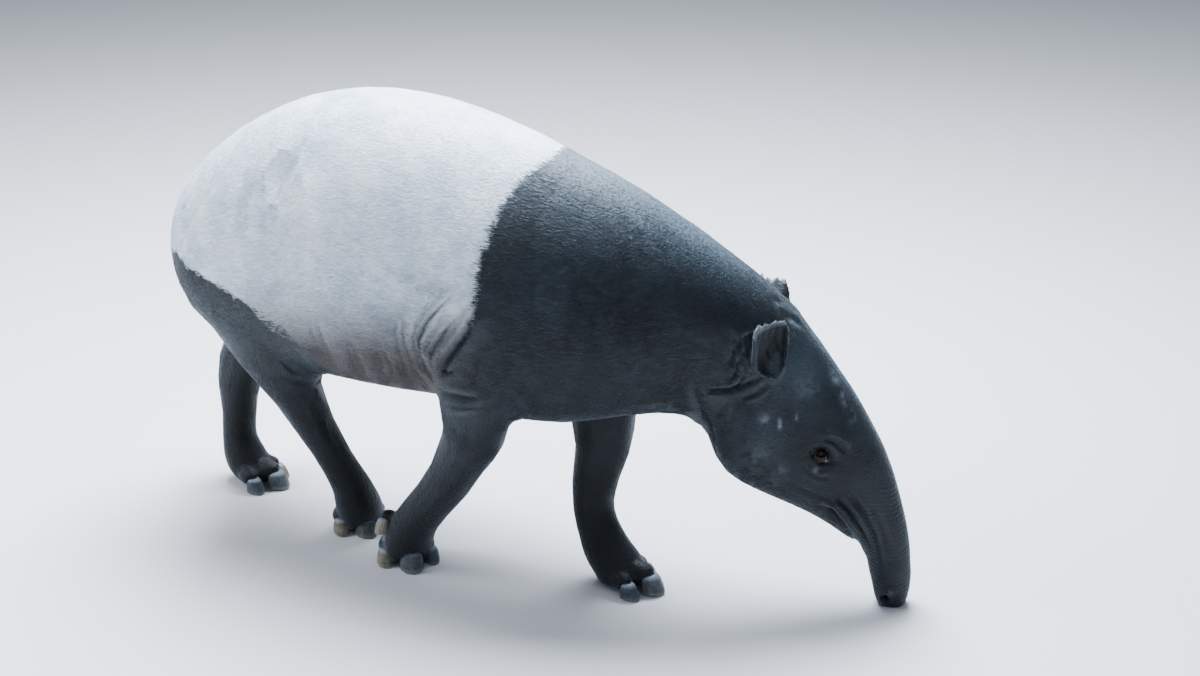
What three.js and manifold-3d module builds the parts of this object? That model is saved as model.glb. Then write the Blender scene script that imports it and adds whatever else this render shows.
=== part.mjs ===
// Malayan tapir, life size, standing in a slow walk with its head down and its trunk on the ground.
// Millimetres, +Z up, +X towards the head, +Y to the animal's left, floor at z = 0.
import * as THREE from 'three';
import { mergeVertices } from 'three/addons/utils/BufferGeometryUtils.js';
import Module from 'manifold-3d';

const wasm = await Module();
wasm.setup();

// Driving dimensions
const partGap = 0.3;
const neckTurnDegrees = 26;
const neckTurnStart = 290;
const neckTurnEnd = 630;
const bodySides = 32;
const legSides = 16;
const hoofSides = 10;
const eyeRadius = 17;
const lidLength = 38;
const lidHeight = 28;
const earHeight = 150;
const earThickness = 5;
const nostrilDepth = 26;

const coatBlack = 0x2c3238;
const coatWhite = 0xd3d6da;
const hornGrey = 0x6d716f;
const eyeBrown = 0x1c1310;

const neckTurn = THREE.MathUtils.degToRad(neckTurnDegrees);

// The body is shaped straight, in (u forward, v left, z up), and then its neck and head are turned left.
function turnNeck(point) {
  const radius = (neckTurnEnd - neckTurnStart) / neckTurn;
  const along = THREE.MathUtils.clamp(point.x - neckTurnStart, 0, neckTurnEnd - neckTurnStart);
  const angle = along / radius;
  const before = Math.min(point.x, neckTurnStart);
  const after = Math.max(point.x - neckTurnEnd, 0);
  const cos = Math.cos(angle);
  const sin = Math.sin(angle);
  return new THREE.Vector3(
    before + radius * sin + after * cos - point.y * sin,
    radius * (1 - cos) + after * sin + point.y * cos,
    point.z,
  );
}

// Catmull-Rom through the same named number of every station, at a place between station i and i + 1.
function between(stations, i, t, read) {
  const at = (k) => read(stations[THREE.MathUtils.clamp(k, 0, stations.length - 1)]);
  const [a, b, c, d] = [at(i - 1), at(i), at(i + 1), at(i + 2)];
  return 0.5 * (2 * b + (c - a) * t + (2 * a - 5 * b + 4 * c - d) * t * t + (3 * b - a - 3 * c + d) * t * t * t);
}

// Rings of points joined into one closed surface, with a point at each end.
function skinOver(rings) {
  const count = rings[0].length;
  const points = rings.flat();
  const middle = (ring) => ring.reduce((sum, p) => sum.add(p), new THREE.Vector3()).divideScalar(count);
  const first = points.push(middle(rings[0])) - 1;
  const last = points.push(middle(rings[rings.length - 1])) - 1;
  const faces = [];
  for (let j = 0; j < count; j++) {
    const next = (j + 1) % count;
    faces.push(first, next, j);
    faces.push(last, (rings.length - 1) * count + j, (rings.length - 1) * count + next);
    for (let i = 0; i < rings.length - 1; i++) {
      const a = i * count + j;
      const b = i * count + next;
      faces.push(a, b, b + count, a, b + count, a + count);
    }
  }
  const geometry = new THREE.BufferGeometry().setFromPoints(points);
  geometry.setIndex(faces);
  return geometry;
}

function solid(geometry) {
  const bare = geometry.clone();
  bare.deleteAttribute('normal');
  bare.deleteAttribute('uv');
  const merged = mergeVertices(bare, 1e-3);
  const make = (triVerts) => new wasm.Manifold(new wasm.Mesh({
    numProp: 3,
    vertProperties: new Float32Array(merged.attributes.position.array),
    triVerts,
  }));
  const faces = Uint32Array.from(merged.index.array);
  const made = make(faces);
  if (made.volume() > 0) return made;
  for (let i = 0; i < faces.length; i += 3) [faces[i + 1], faces[i + 2]] = [faces[i + 2], faces[i + 1]];
  return make(faces);
}

const join = (pieces) => pieces.reduce((sum, piece) => sum.add(piece));

function largest(made) {
  const bodies = made.decompose();
  return bodies.reduce((best, body) => (body.volume() > best.volume() ? body : best));
}

// Everything on the far side of a plane, as a large block.
function beyond(point, normal) {
  const reach = 4000;
  const block = new THREE.BoxGeometry(reach, reach, reach);
  const direction = normal.clone().normalize();
  block.applyQuaternion(new THREE.Quaternion().setFromUnitVectors(new THREE.Vector3(0, 0, 1), direction));
  block.translate(...point.clone().addScaledVector(direction, reach / 2));
  return solid(block);
}

// Splits a solid at a plane, leaving the gap that neighbouring pieces keep.
function part(made, point, normal) {
  const far = point.clone().addScaledVector(normal.clone().normalize(), partGap);
  return [made.intersect(beyond(point, normal.clone().negate())), made.intersect(beyond(far, normal))];
}

// Trunk of the body, neck, head and snout
// Each station is a section between a point on the top line and one on the bottom line, in (u, z).
// half is its greatest half width, widest where that lies from bottom (0) to top (1),
// and upper and lower say how square the section is (2 is an ellipse).
const bodyStations = [
  { at: 'rump end', top: [-588, 690], bottom: [-590, 622], half: 38, widest: 0.5, upper: 2, lower: 2 },
  { at: 'tail root', top: [-574, 752], bottom: [-580, 568], half: 92, widest: 0.5, upper: 2, lower: 2 },
  { at: 'buttock', top: [-534, 814], bottom: [-544, 512], half: 140, widest: 0.5, upper: 2.1, lower: 2.1 },
  { at: 'hip', top: [-464, 882], bottom: [-474, 466], half: 186, widest: 0.48, upper: 2.1, lower: 2.5 },
  { at: 'croup', top: [-358, 955], bottom: [-362, 428], half: 224, widest: 0.46, upper: 2.1, lower: 2.5 },
  { at: 'loin', top: [-225, 1014], bottom: [-215, 402], half: 248, widest: 0.46, upper: 2.1, lower: 2.4 },
  { at: 'flank', top: [-75, 1043], bottom: [-60, 394], half: 262, widest: 0.45, upper: 2.1, lower: 2.2 },
  { at: 'barrel', top: [80, 1042], bottom: [85, 402], half: 262, widest: 0.45, upper: 2.05, lower: 2.2 },
  { at: 'girth', top: [225, 1018], bottom: [215, 410], half: 250, widest: 0.45, upper: 2, lower: 2.2 },
  { at: 'withers', top: [365, 982], bottom: [330, 398], half: 230, widest: 0.45, upper: 1.95, lower: 2.4 },
  { at: 'shoulder', top: [480, 940], bottom: [430, 402], half: 208, widest: 0.46, upper: 1.95, lower: 2.4 },
  { at: 'chest', top: [578, 893], bottom: [530, 420], half: 180, widest: 0.5, upper: 1.95, lower: 2.1 },
  { at: 'neck', top: [668, 836], bottom: [610, 432], half: 152, widest: 0.5, upper: 1.95, lower: 2.1 },
  { at: 'nape', top: [754, 770], bottom: [668, 420], half: 128, widest: 0.5, upper: 2, lower: 2.1 },
  { at: 'poll', top: [832, 708], bottom: [700, 385], half: 108, widest: 0.52, upper: 2, lower: 2.1 },
  { at: 'crown', top: [884, 658], bottom: [716, 340], half: 98, widest: 0.5, upper: 2.1, lower: 2.1 },
  { at: 'jaw angle', top: [924, 600], bottom: [745, 296], half: 93, widest: 0.48, upper: 2.1, lower: 2.1 },
  { at: 'cheek', top: [966, 545], bottom: [790, 268], half: 89, widest: 0.46, upper: 2.1, lower: 2.1 },
  { at: 'temple', top: [1005, 486], bottom: [842, 244], half: 84, widest: 0.46, upper: 2.1, lower: 2.1 },
  { at: 'brow', top: [1040, 425], bottom: [892, 222], half: 77, widest: 0.48, upper: 2.05, lower: 2.1 },
  { at: 'eye', top: [1070, 368], bottom: [938, 198], half: 68, widest: 0.5, upper: 2, lower: 2.1 },
  { at: 'muzzle', top: [1094, 308], bottom: [980, 170], half: 58, widest: 0.5, upper: 2, lower: 2.1 },
  { at: 'chin', top: [1112, 248], bottom: [1016, 140], half: 50, widest: 0.52, upper: 2, lower: 2.1 },
  { at: 'lip', top: [1126, 195], bottom: [1038, 118], half: 44, widest: 0.52, upper: 2, lower: 2.1 },
  { at: 'snout', top: [1136, 140], bottom: [1048, 88], half: 40, widest: 0.52, upper: 2, lower: 2.1 },
  { at: 'snout low', top: [1140, 84], bottom: [1058, 52], half: 38, widest: 0.5, upper: 2.1, lower: 2.2 },
  { at: 'snout end', top: [1138, 34], bottom: [1066, 18], half: 35, widest: 0.5, upper: 2.2, lower: 2.4 },
  { at: 'snout tip', top: [1128, -4], bottom: [1076, -6], half: 26, widest: 0.5, upper: 2.4, lower: 2.4 },
];
const ringsPerStation = 2;

// Soft swellings and hollows: a place, its reach along u, v and z, and its height (below 0 for a hollow).
const mirrored = (forms) => forms.flatMap((f) => [f, { ...f, at: [f.at[0], -f.at[1], f.at[2]] }]);
const bodyForms = mirrored([
  { is: 'shoulder blade', at: [350, 200, 690], reach: [110, 120, 170], height: 16 },
  { is: 'haunch', at: [-430, 190, 640], reach: [140, 120, 170], height: 22 },
  { is: 'hip bone', at: [-330, 190, 840], reach: [60, 70, 60], height: 8 },
  { is: 'flank hollow', at: [-240, 235, 820], reach: [70, 90, 90], height: -10 },
  { is: 'cheek muscle', at: [790, 88, 380], reach: [60, 60, 75], height: 9 },
  { is: 'temple hollow', at: [905, 80, 520], reach: [42, 50, 50], height: -5 },
  { is: 'brow', at: [966, 76, 404], reach: [30, 36, 20], height: 7 },
  { is: 'eye hollow', at: [940, 76, 366], reach: [26, 30, 22], height: -6 },
  { is: 'cheek bone', at: [905, 80, 335], reach: [46, 40, 24], height: 5 },
  { is: 'lip fold', at: [1010, 50, 215], reach: [34, 30, 26], height: 6 },
]);

function bodyRings(grow = 0) {
  const rings = [];
  for (let i = 0; i < bodyStations.length - 1; i++) {
    const steps = i === bodyStations.length - 2 ? ringsPerStation + 1 : ringsPerStation;
    for (let k = 0; k < steps; k++) {
      const get = (read) => between(bodyStations, i, k / ringsPerStation, read);
      const top = new THREE.Vector3(get((s) => s.top[0]), 0, get((s) => s.top[1]));
      const bottom = new THREE.Vector3(get((s) => s.bottom[0]), 0, get((s) => s.bottom[1]));
      const widest = get((s) => s.widest);
      const half = get((s) => s.half) + grow;
      const centre = bottom.clone().lerp(top, widest);
      const upright = top.clone().sub(bottom).normalize();
      const up = top.distanceTo(centre) + grow;
      const down = bottom.distanceTo(centre) + grow;
      const squareness = { up: get((s) => s.upper), down: get((s) => s.lower) };
      const ring = [];
      for (let j = 0; j < bodySides; j++) {
        const angle = (2 * Math.PI * j) / bodySides;
        const cos = Math.cos(angle);
        const sin = Math.sin(angle);
        const power = 2 / (cos > 0 ? squareness.up : squareness.down);
        const side = half * Math.sign(sin) * Math.abs(sin) ** power;
        const rise = (cos > 0 ? up : down) * Math.sign(cos) * Math.abs(cos) ** power;
        const point = centre.clone().addScaledVector(upright, rise);
        point.y += side;
        const outward = new THREE.Vector3(upright.x * rise, side, upright.z * rise).normalize();
        let swell = 0;
        for (const form of bodyForms) {
          const d = (p, n) => (p - form.at[n]) / form.reach[n];
          swell += form.height * Math.exp(-(d(point.x, 0) ** 2 + d(point.y, 1) ** 2 + d(point.z, 2) ** 2));
        }
        ring.push(point.addScaledVector(outward, swell));
      }
      rings.push(ring);
    }
  }
  return rings;
}

const bodySolid = (grow = 0) => solid(skinOver(bodyRings(grow).map((ring) => ring.map(turnNeck))));

// A piece shaped in the straight frame of the head, then turned with it.
function turned(geometry) {
  const place = geometry.attributes.position;
  for (let i = 0; i < place.count; i++) {
    const p = turnNeck(new THREE.Vector3().fromBufferAttribute(place, i));
    place.setXYZ(i, p.x, p.y, p.z);
  }
  return geometry;
}

// Legs
// Each station is a section of a leg: its centre, how far it reaches forward and back, and its half width.
function legGeometry(stations, headingDegrees, grow = 0) {
  const rings = [];
  const heading = THREE.MathUtils.degToRad(headingDegrees);
  const pathAt = (i, t) => new THREE.Vector3(...[0, 1, 2].map((n) => between(stations, i, t, (s) => s.at[n])));
  for (let i = 0; i < stations.length - 1; i++) {
    const steps = i === stations.length - 2 ? 3 : 2;
    for (let k = 0; k < steps; k++) {
      const t = k / 2;
      const centre = pathAt(i, t);
      const along = t < 1 ? pathAt(i, t + 0.05).sub(centre) : centre.clone().sub(pathAt(i, t - 0.05));
      const turn = heading * THREE.MathUtils.clamp((i + t) / (stations.length - 1), 0, 1);
      const forward = new THREE.Vector3(Math.cos(turn), Math.sin(turn), 0);
      const level = THREE.MathUtils.smoothstep(centre.z, 20, 110);
      const normal = along.normalize().lerp(new THREE.Vector3(0, 0, -1), 1 - level).normalize();
      const left = normal.clone().cross(forward).negate().normalize();
      const front = left.clone().cross(normal).negate().normalize();
      if (front.dot(forward) < 0) front.negate();
      const get = (read) => between(stations, i, t, read) + grow;
      const fore = get((s) => s.fore);
      const aft = get((s) => s.aft);
      const side = get((s) => s.side);
      const ring = [];
      for (let j = 0; j < legSides; j++) {
        const angle = (2 * Math.PI * j) / legSides;
        const cos = Math.cos(angle);
        ring.push(centre.clone()
          .addScaledVector(front, (cos > 0 ? fore : aft) * cos)
          .addScaledVector(left, side * Math.sin(angle)));
      }
      rings.push(ring);
    }
  }
  return skinOver(rings);
}

const legs = [
  {
    name: 'foreleg_right', heading: -46, toes: 'fore', side: -1,
    stations: [
      { at: [350, -100, 640], fore: 84, aft: 84, side: 60 },
      { at: [322, -146, 558], fore: 112, aft: 104, side: 78 },
      { at: [286, -164, 466], fore: 100, aft: 92, side: 72 },
      { at: [277, -160, 396], fore: 76, aft: 74, side: 62 },
      { at: [235, -146, 322], fore: 62, aft: 60, side: 55 },
      { at: [186, -130, 248], fore: 56, aft: 52, side: 50 },
      { at: [126, -113, 174], fore: 51, aft: 50, side: 47 },
      { at: [72, -101, 104], fore: 52, aft: 54, side: 50 },
      { at: [48, -92, 54], fore: 54, aft: 56, side: 56 },
      { at: [40, -86, 14], fore: 46, aft: 54, side: 54 },
    ],
    foot: [34, -82],
    smallToe: [4, -122, 76],
  },
  {
    name: 'foreleg_left', heading: 4, toes: 'fore', side: 1,
    stations: [
      { at: [396, 95, 640], fore: 84, aft: 84, side: 60 },
      { at: [408, 132, 555], fore: 104, aft: 104, side: 76 },
      { at: [408, 134, 455], fore: 96, aft: 96, side: 70 },
      { at: [420, 122, 370], fore: 80, aft: 78, side: 62 },
      { at: [430, 104, 298], fore: 66, aft: 64, side: 55 },
      { at: [426, 88, 238], fore: 54, aft: 56, side: 50 },
      { at: [424, 77, 182], fore: 47, aft: 50, side: 44 },
      { at: [437, 69, 128], fore: 48, aft: 48, side: 46 },
      { at: [468, 62, 76], fore: 54, aft: 52, side: 52 },
      { at: [502, 60, 38], fore: 60, aft: 62, side: 56 },
      { at: [510, 60, 12], fore: 50, aft: 58, side: 52 },
    ],
    foot: [528, 61],
    smallToe: [478, 116, 30],
  },
  {
    name: 'hindleg_right', heading: -34, toes: 'hind', side: -1,
    stations: [
      { at: [-400, -95, 720], fore: 120, aft: 110, side: 80 },
      { at: [-366, -124, 630], fore: 146, aft: 120, side: 94 },
      { at: [-312, -136, 524], fore: 132, aft: 108, side: 88 },
      { at: [-256, -128, 432], fore: 92, aft: 92, side: 74 },
      { at: [-230, -108, 358], fore: 62, aft: 68, side: 58 },
      { at: [-213, -90, 296], fore: 50, aft: 56, side: 49 },
      { at: [-191, -71, 234], fore: 47, aft: 47, side: 43 },
      { at: [-168, -53, 174], fore: 45, aft: 45, side: 41 },
      { at: [-150, -32, 114], fore: 49, aft: 50, side: 46 },
      { at: [-144, -15, 60], fore: 54, aft: 54, side: 53 },
      { at: [-146, -6, 14], fore: 46, aft: 52, side: 50 },
    ],
    foot: [-158, 0],
  },
  {
    name: 'hindleg_left', heading: 4, toes: 'hind', side: 1,
    stations: [
      { at: [-430, 95, 720], fore: 120, aft: 100, side: 80 },
      { at: [-444, 124, 630], fore: 150, aft: 116, side: 94 },
      { at: [-466, 134, 520], fore: 128, aft: 92, side: 86 },
      { at: [-506, 128, 425], fore: 90, aft: 70, side: 70 },
      { at: [-546, 118, 350], fore: 72, aft: 62, side: 57 },
      { at: [-568, 108, 285], fore: 58, aft: 66, side: 50 },
      { at: [-574, 98, 228], fore: 50, aft: 60, side: 44 },
      { at: [-571, 86, 168], fore: 44, aft: 43, side: 41 },
      { at: [-568, 77, 108], fore: 44, aft: 42, side: 42 },
      { at: [-550, 71, 62], fore: 52, aft: 46, side: 50 },
      { at: [-522, 68, 30], fore: 52, aft: 52, side: 54 },
      { at: [-508, 67, 12], fore: 42, aft: 46, side: 44 },
    ],
    foot: [-500, 66],
  },
];

// Toes: where each stands from the middle of the foot (forward, outward), the way it points, and its hoof.
// The small outer toe of a forefoot stands clear of the ground at a place of its own.
const toePlans = {
  fore: [
    { digit: 'middle', forward: 44, outward: -4, turn: 0, width: 56, length: 64, height: 44 },
    { digit: 'inner', forward: 14, outward: -49, turn: -16, width: 40, length: 58, height: 36 },
    { digit: 'outer', forward: 6, outward: 46, turn: 16, width: 42, length: 58, height: 38 },
    { digit: 'small', turn: 52, width: 32, length: 42, height: 34 },
  ],
  hind: [
    { digit: 'middle', forward: 42, outward: 0, turn: 0, width: 54, length: 62, height: 42 },
    { digit: 'inner', forward: 12, outward: -47, turn: -14, width: 40, length: 56, height: 36 },
    { digit: 'outer', forward: 12, outward: 47, turn: 14, width: 40, length: 56, height: 36 },
  ],
};

// A hoof: a blunt rounded horn block, narrow at the coronet and broad and flat at the ground.
function hoofGeometry(toe, grow = 0) {
  const layers = [
    { up: 0, wide: 0.9, front: 0.95, back: 0.3 },
    { up: 0.1, wide: 1, front: 1, back: 0.34 },
    { up: 0.45, wide: 0.98, front: 0.86, back: 0.34 },
    { up: 0.8, wide: 0.88, front: 0.66, back: 0.32 },
    { up: 1, wide: 0.66, front: 0.46, back: 0.26 },
  ];
  const rings = layers.map((layer, n) => {
    const ring = [];
    const ends = n === 0 ? -grow : n === layers.length - 1 ? grow : 0;
    for (let j = 0; j < hoofSides; j++) {
      const angle = (2 * Math.PI * j) / hoofSides;
      const cos = Math.cos(angle);
      const reach = (cos > 0 ? layer.front : layer.back) * toe.length * 0.62;
      ring.push(new THREE.Vector3(
        Math.sign(cos) * Math.abs(cos) ** 0.85 * (reach + grow),
        Math.sin(angle) * ((layer.wide * toe.width) / 2 + grow),
        layer.up * toe.height + ends,
      ));
    }
    return ring;
  });
  return skinOver(rings);
}

// The flesh of a toe, from inside the foot down into the back of its hoof.
function toeGeometry(toe) {
  const rings = [];
  const steps = 4;
  for (let i = 0; i <= steps; i++) {
    const t = i / steps;
    const round = Math.sqrt(Math.max(0.04, 1 - (2 * t - 1) ** 2 * 0.9));
    const ring = [];
    for (let j = 0; j < hoofSides; j++) {
      const angle = (2 * Math.PI * j) / hoofSides;
      ring.push(new THREE.Vector3(
        -toe.length * 0.8 + t * toe.length * 1.04 + Math.sin(angle) * toe.height * 0.3 * round,
        (Math.cos(angle) * toe.width * round) / 2,
        toe.height * (1.22 - 0.56 * t) + Math.sin(angle) * toe.height * 0.56 * round,
      ));
    }
    rings.push(ring);
  }
  return skinOver(rings);
}

function placeToe(geometry, leg, toe) {
  const heading = THREE.MathUtils.degToRad(leg.heading);
  const turn = heading + leg.side * THREE.MathUtils.degToRad(toe.turn);
  const forward = new THREE.Vector3(Math.cos(heading), Math.sin(heading), 0);
  const outward = new THREE.Vector3(-Math.sin(heading), Math.cos(heading), 0).multiplyScalar(leg.side);
  if (toe.digit === 'small') return geometry.rotateZ(turn).translate(...leg.smallToe);
  return geometry
    .rotateZ(turn)
    .translate(leg.foot[0], leg.foot[1], 0)
    .translate(...forward.multiplyScalar(toe.forward))
    .translate(...outward.multiplyScalar(toe.outward));
}

// Ears
// An ear is a cup: a C-shaped section, closed at the root and open towards the front, that is oval from the side.
const ear = {
  root: [836, 84, 552],
  lean: { up: [-0.06, 0.45, 0.89], facing: [0.52, 0.82, -0.1] },
  halfWidth: [13, 22, 30, 36, 40, 41, 37],
  depth: [16, 24, 27, 27, 25, 20, 14],
  opening: [168, 142, 120, 106, 98, 92, 84],
};

function earGeometry(side) {
  const up = new THREE.Vector3(...ear.lean.up).normalize();
  const facing = new THREE.Vector3(...ear.lean.facing);
  facing.addScaledVector(up, -facing.dot(up)).normalize();
  const across = up.clone().cross(facing).normalize();
  const root = new THREE.Vector3(...ear.root);
  const steps = 10;
  const half = 6;
  const rings = [];
  for (let i = 0; i <= steps; i++) {
    const place = (i / steps) * (ear.halfWidth.length - 1);
    const k = Math.min(Math.floor(place), ear.halfWidth.length - 2);
    const read = (list) => between(list, k, place - k, (n) => n);
    const width = read(ear.halfWidth);
    const depth = read(ear.depth);
    const opening = THREE.MathUtils.degToRad(Math.min(read(ear.opening), 168));
    const height = earHeight * (i / steps) - 14;
    const section = (w, d, order) => order.map((j) => {
      const angle = (opening * j) / half;
      return root.clone()
        .addScaledVector(up, height)
        .addScaledVector(across, Math.sin(angle) * w)
        .addScaledVector(facing, -Math.cos(angle) * d);
    });
    const order = Array.from({ length: 2 * half + 1 }, (_, n) => n - half);
    const inside = [Math.max(width - earThickness, 2), Math.max(depth - earThickness, 1)];
    rings.push([...section(width, depth, order), ...section(...inside, order.slice().reverse())]);
  }
  const geometry = skinOver(rings);
  if (side < 0) geometry.scale(1, -1, 1);
  return turned(geometry);
}

// Eyes
const eyePlace = [937, 71, 369];
const eyeLook = [0.28, 0.95, 0.1];

// A lid is a fold of skin that follows the almond of the opening, lying on the ball.
function lidGeometry(side) {
  const centre = new THREE.Vector3(...eyePlace);
  const look = new THREE.Vector3(...eyeLook).normalize();
  const along = new THREE.Vector3(0.55, -0.2, -0.81);
  along.addScaledVector(look, -along.dot(look)).normalize();
  const above = look.clone().cross(along).normalize();
  if (above.z < 0) above.negate();
  const steps = 14;
  const around = 5;
  const rings = [];
  for (let i = 0; i < steps; i++) {
    const angle = (2 * Math.PI * i) / steps;
    const out = new THREE.Vector3()
      .addScaledVector(along, Math.cos(angle) * lidLength / 2)
      .addScaledVector(above, Math.sin(angle) * lidHeight / 2);
    const forward = Math.sqrt(eyeRadius ** 2 - Math.min(out.lengthSq(), 225)) + 0.5;
    const middle = centre.clone().add(out).addScaledVector(look, forward);
    const away = out.clone().normalize();
    const ring = [];
    for (let j = 0; j < around; j++) {
      const turn = (2 * Math.PI * j) / around;
      ring.push(middle.clone()
        .addScaledVector(away, Math.cos(turn) * 5.5)
        .addScaledVector(look, Math.sin(turn) * 4.5));
    }
    rings.push(ring);
  }
  const points = rings.flat();
  const faces = [];
  for (let i = 0; i < steps; i++) {
    for (let j = 0; j < around; j++) {
      const a = i * around + j;
      const b = i * around + ((j + 1) % around);
      const c = ((i + 1) % steps) * around + ((j + 1) % around);
      const d = ((i + 1) % steps) * around + j;
      faces.push(a, b, c, a, c, d);
    }
  }
  const geometry = new THREE.BufferGeometry().setFromPoints(points);
  geometry.setIndex(faces);
  if (side < 0) geometry.scale(1, -1, 1);
  return turned(geometry);
}

// The opening that is cut in the face in front of the ball.
function socketGeometry(side) {
  const look = new THREE.Vector3(...eyeLook).normalize();
  const socket = new THREE.SphereGeometry(1, 12, 6);
  socket.scale(lidLength / 2, lidHeight / 2, eyeRadius + 4);
  socket.applyQuaternion(new THREE.Quaternion().setFromUnitVectors(new THREE.Vector3(0, 0, 1), look));
  socket.translate(...eyePlace);
  if (side < 0) socket.scale(1, -1, 1);
  return turned(socket);
}

function eyeBall(side, radius) {
  const ball = new THREE.SphereGeometry(radius, 14, 9);
  ball.translate(eyePlace[0], side * eyePlace[1], eyePlace[2]);
  return turned(ball);
}

// Mouth
// The gape runs from the chin up to the corner of the mouth, in (u, z), with its half thickness there.
const gape = [
  { at: [1022, 98], half: 6 },
  { at: [1030, 118], half: 5.5 },
  { at: [1026, 138], half: 5 },
  { at: [1010, 166], half: 4 },
  { at: [990, 198], half: 3 },
  { at: [970, 228], half: 2 },
  { at: [958, 244], half: 0.6 },
];
const jawBack = [[872, 262], [872, 120]];

function slab(outline, halfWidth) {
  const shape = new THREE.Shape(outline.map(([u, z]) => new THREE.Vector2(u, z)));
  const block = new THREE.ExtrudeGeometry(shape, { depth: 2 * halfWidth, bevelEnabled: false, steps: 1 });
  block.rotateX(Math.PI / 2);
  block.translate(0, halfWidth, 0);
  return solid(turned(block));
}

function gapeSides() {
  const upper = [];
  const lower = [];
  gape.forEach((g, i) => {
    const before = gape[Math.max(i - 1, 0)].at;
    const after = gape[Math.min(i + 1, gape.length - 1)].at;
    const along = new THREE.Vector2(after[0] - before[0], after[1] - before[1]).normalize();
    upper.push([g.at[0] + along.y * g.half, g.at[1] - along.x * g.half]);
    lower.push([g.at[0] - along.y * g.half, g.at[1] + along.x * g.half]);
  });
  return { upper, lower };
}

function nostril(side) {
  const hole = new THREE.SphereGeometry(1, 8, 6);
  hole.scale(9, nostrilDepth / 2, 7);
  hole.rotateX(side * THREE.MathUtils.degToRad(-35));
  hole.translate(1098, side * 30, 8);
  return solid(turned(hole));
}

// Tail: a short thick stub lying against the rump.
function tailGeometry() {
  const stations = [
    { at: [-560, 706], half: 30 },
    { at: [-592, 694], half: 28 },
    { at: [-611, 668], half: 24 },
    { at: [-616, 634], half: 19 },
    { at: [-612, 606], half: 13 },
    { at: [-609, 594], half: 5 },
  ];
  const rings = stations.map((s, i) => {
    const next = stations[Math.min(i + 1, stations.length - 1)].at;
    const last = stations[Math.max(i - 1, 0)].at;
    const along = new THREE.Vector3(next[0] - last[0], 0, next[1] - last[1]).normalize();
    const out = new THREE.Vector3(along.z, 0, -along.x);
    const ring = [];
    for (let j = 0; j < hoofSides; j++) {
      const angle = (2 * Math.PI * j) / hoofSides;
      ring.push(new THREE.Vector3(s.at[0], Math.sin(angle) * s.half, s.at[1])
        .addScaledVector(out, Math.cos(angle) * s.half * 0.8));
    }
    return ring;
  });
  return skinOver(rings);
}

// The pale saddle ends in front at a slanting line behind the shoulder, and behind and below at one
// that runs from the flank back to the tail, both in (u, z).
const saddleFront = { top: [434, 988], bottom: [170, 420] };
const saddleRear = { front: [-85, 450], back: [-612, 640] };

// Assembly
const body = bodySolid();
const bodyClear = bodySolid(partGap);
const straight = (u, z) => turnNeck(new THREE.Vector3(u, 0, z));

function cutPlane(top, bottom) {
  const a = straight(...top);
  const b = straight(...bottom);
  const ahead = straight((top[0] + bottom[0]) / 2 + 1, top[1]).sub(straight((top[0] + bottom[0]) / 2, top[1]));
  const leftward = new THREE.Vector3(0, 0, 1).cross(ahead).normalize();
  const normal = leftward.cross(a.clone().sub(b)).normalize();
  if (normal.dot(ahead) < 0) normal.negate();
  return [b, normal];
}

const [trunk, front] = part(body, ...cutPlane([560, 880], [520, 420]));
const [trunkRear, shoulders] = part(trunk, ...cutPlane(saddleFront.top, saddleFront.bottom));
const [hindquarters, torso] = part(trunkRear, ...cutPlane(saddleRear.front, saddleRear.back));
const [neck, headAndSnout] = part(front, ...cutPlane([806, 720], [676, 405]));

const { upper: gapeUpper, lower: gapeLower } = gapeSides();
const mouthGap = slab([...gapeUpper, ...gapeLower.slice().reverse()], 140);
const jawRegion = slab([...gapeLower, [jawBack[0][0], jawBack[0][1]], jawBack[1], [960, 60], [1010, 80]], 140);
const jawClear = slab([
  ...gapeLower.map(([u, z]) => [u + partGap, z + partGap]),
  [jawBack[0][0] - partGap, jawBack[0][1] + partGap],
  [jawBack[1][0] - partGap, jawBack[1][1]],
  [960, 60],
  [1010, 80],
], 141);

let skull = headAndSnout;
for (const side of [1, -1]) {
  skull = skull.subtract(solid(socketGeometry(side)));
  skull = skull.add(solid(lidGeometry(side)));
  skull = skull.subtract(solid(eyeBall(side, eyeRadius + partGap)));
}
const jaw = headAndSnout.subtract(mouthGap).intersect(jawRegion);
skull = skull.subtract(mouthGap).subtract(jawClear);
const [head, snoutBlank] = part(skull, ...cutPlane([1108, 262], [1024, 170]));
const snout = snoutBlank.subtract(nostril(1)).subtract(nostril(-1));

const root = new THREE.Group();

function addNode(name, made, colour, roughness) {
  const mesh = largest(made).getMesh();
  const geometry = new THREE.BufferGeometry();
  const count = mesh.numProp;
  const places = new Float32Array((mesh.vertProperties.length / count) * 3);
  for (let i = 0; i < places.length / 3; i++) {
    places.set(mesh.vertProperties.subarray(i * count, i * count + 3), i * 3);
  }
  geometry.setAttribute('position', new THREE.BufferAttribute(places, 3));
  geometry.setIndex(new THREE.BufferAttribute(mesh.triVerts, 1));
  geometry.computeVertexNormals();
  const material = new THREE.MeshStandardMaterial({ color: colour, roughness, metalness: 0 });
  const node = new THREE.Mesh(geometry, material);
  node.name = name;
  root.add(node);
}

const floor = beyond(new THREE.Vector3(0, 0, 0), new THREE.Vector3(0, 0, -1));
addNode('torso', torso, coatWhite, 0.8);
addNode('shoulders', shoulders, coatBlack, 0.8);
addNode('hindquarters', hindquarters, coatBlack, 0.8);
addNode('neck', neck, coatBlack, 0.8);
addNode('head', head, coatBlack, 0.8);
addNode('lower_jaw', jaw, coatBlack, 0.8);
addNode('snout', snout.subtract(floor), coatBlack, 0.8);
addNode('tail', solid(tailGeometry()).subtract(bodyClear), coatBlack, 0.85);
for (const [side, label] of [[1, 'left'], [-1, 'right']]) {
  addNode(`ear_${label}`, solid(earGeometry(side)).subtract(bodyClear), coatBlack, 0.85);
  addNode(`eye_${label}`, solid(eyeBall(side, eyeRadius)), eyeBrown, 0.15);
}

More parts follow.
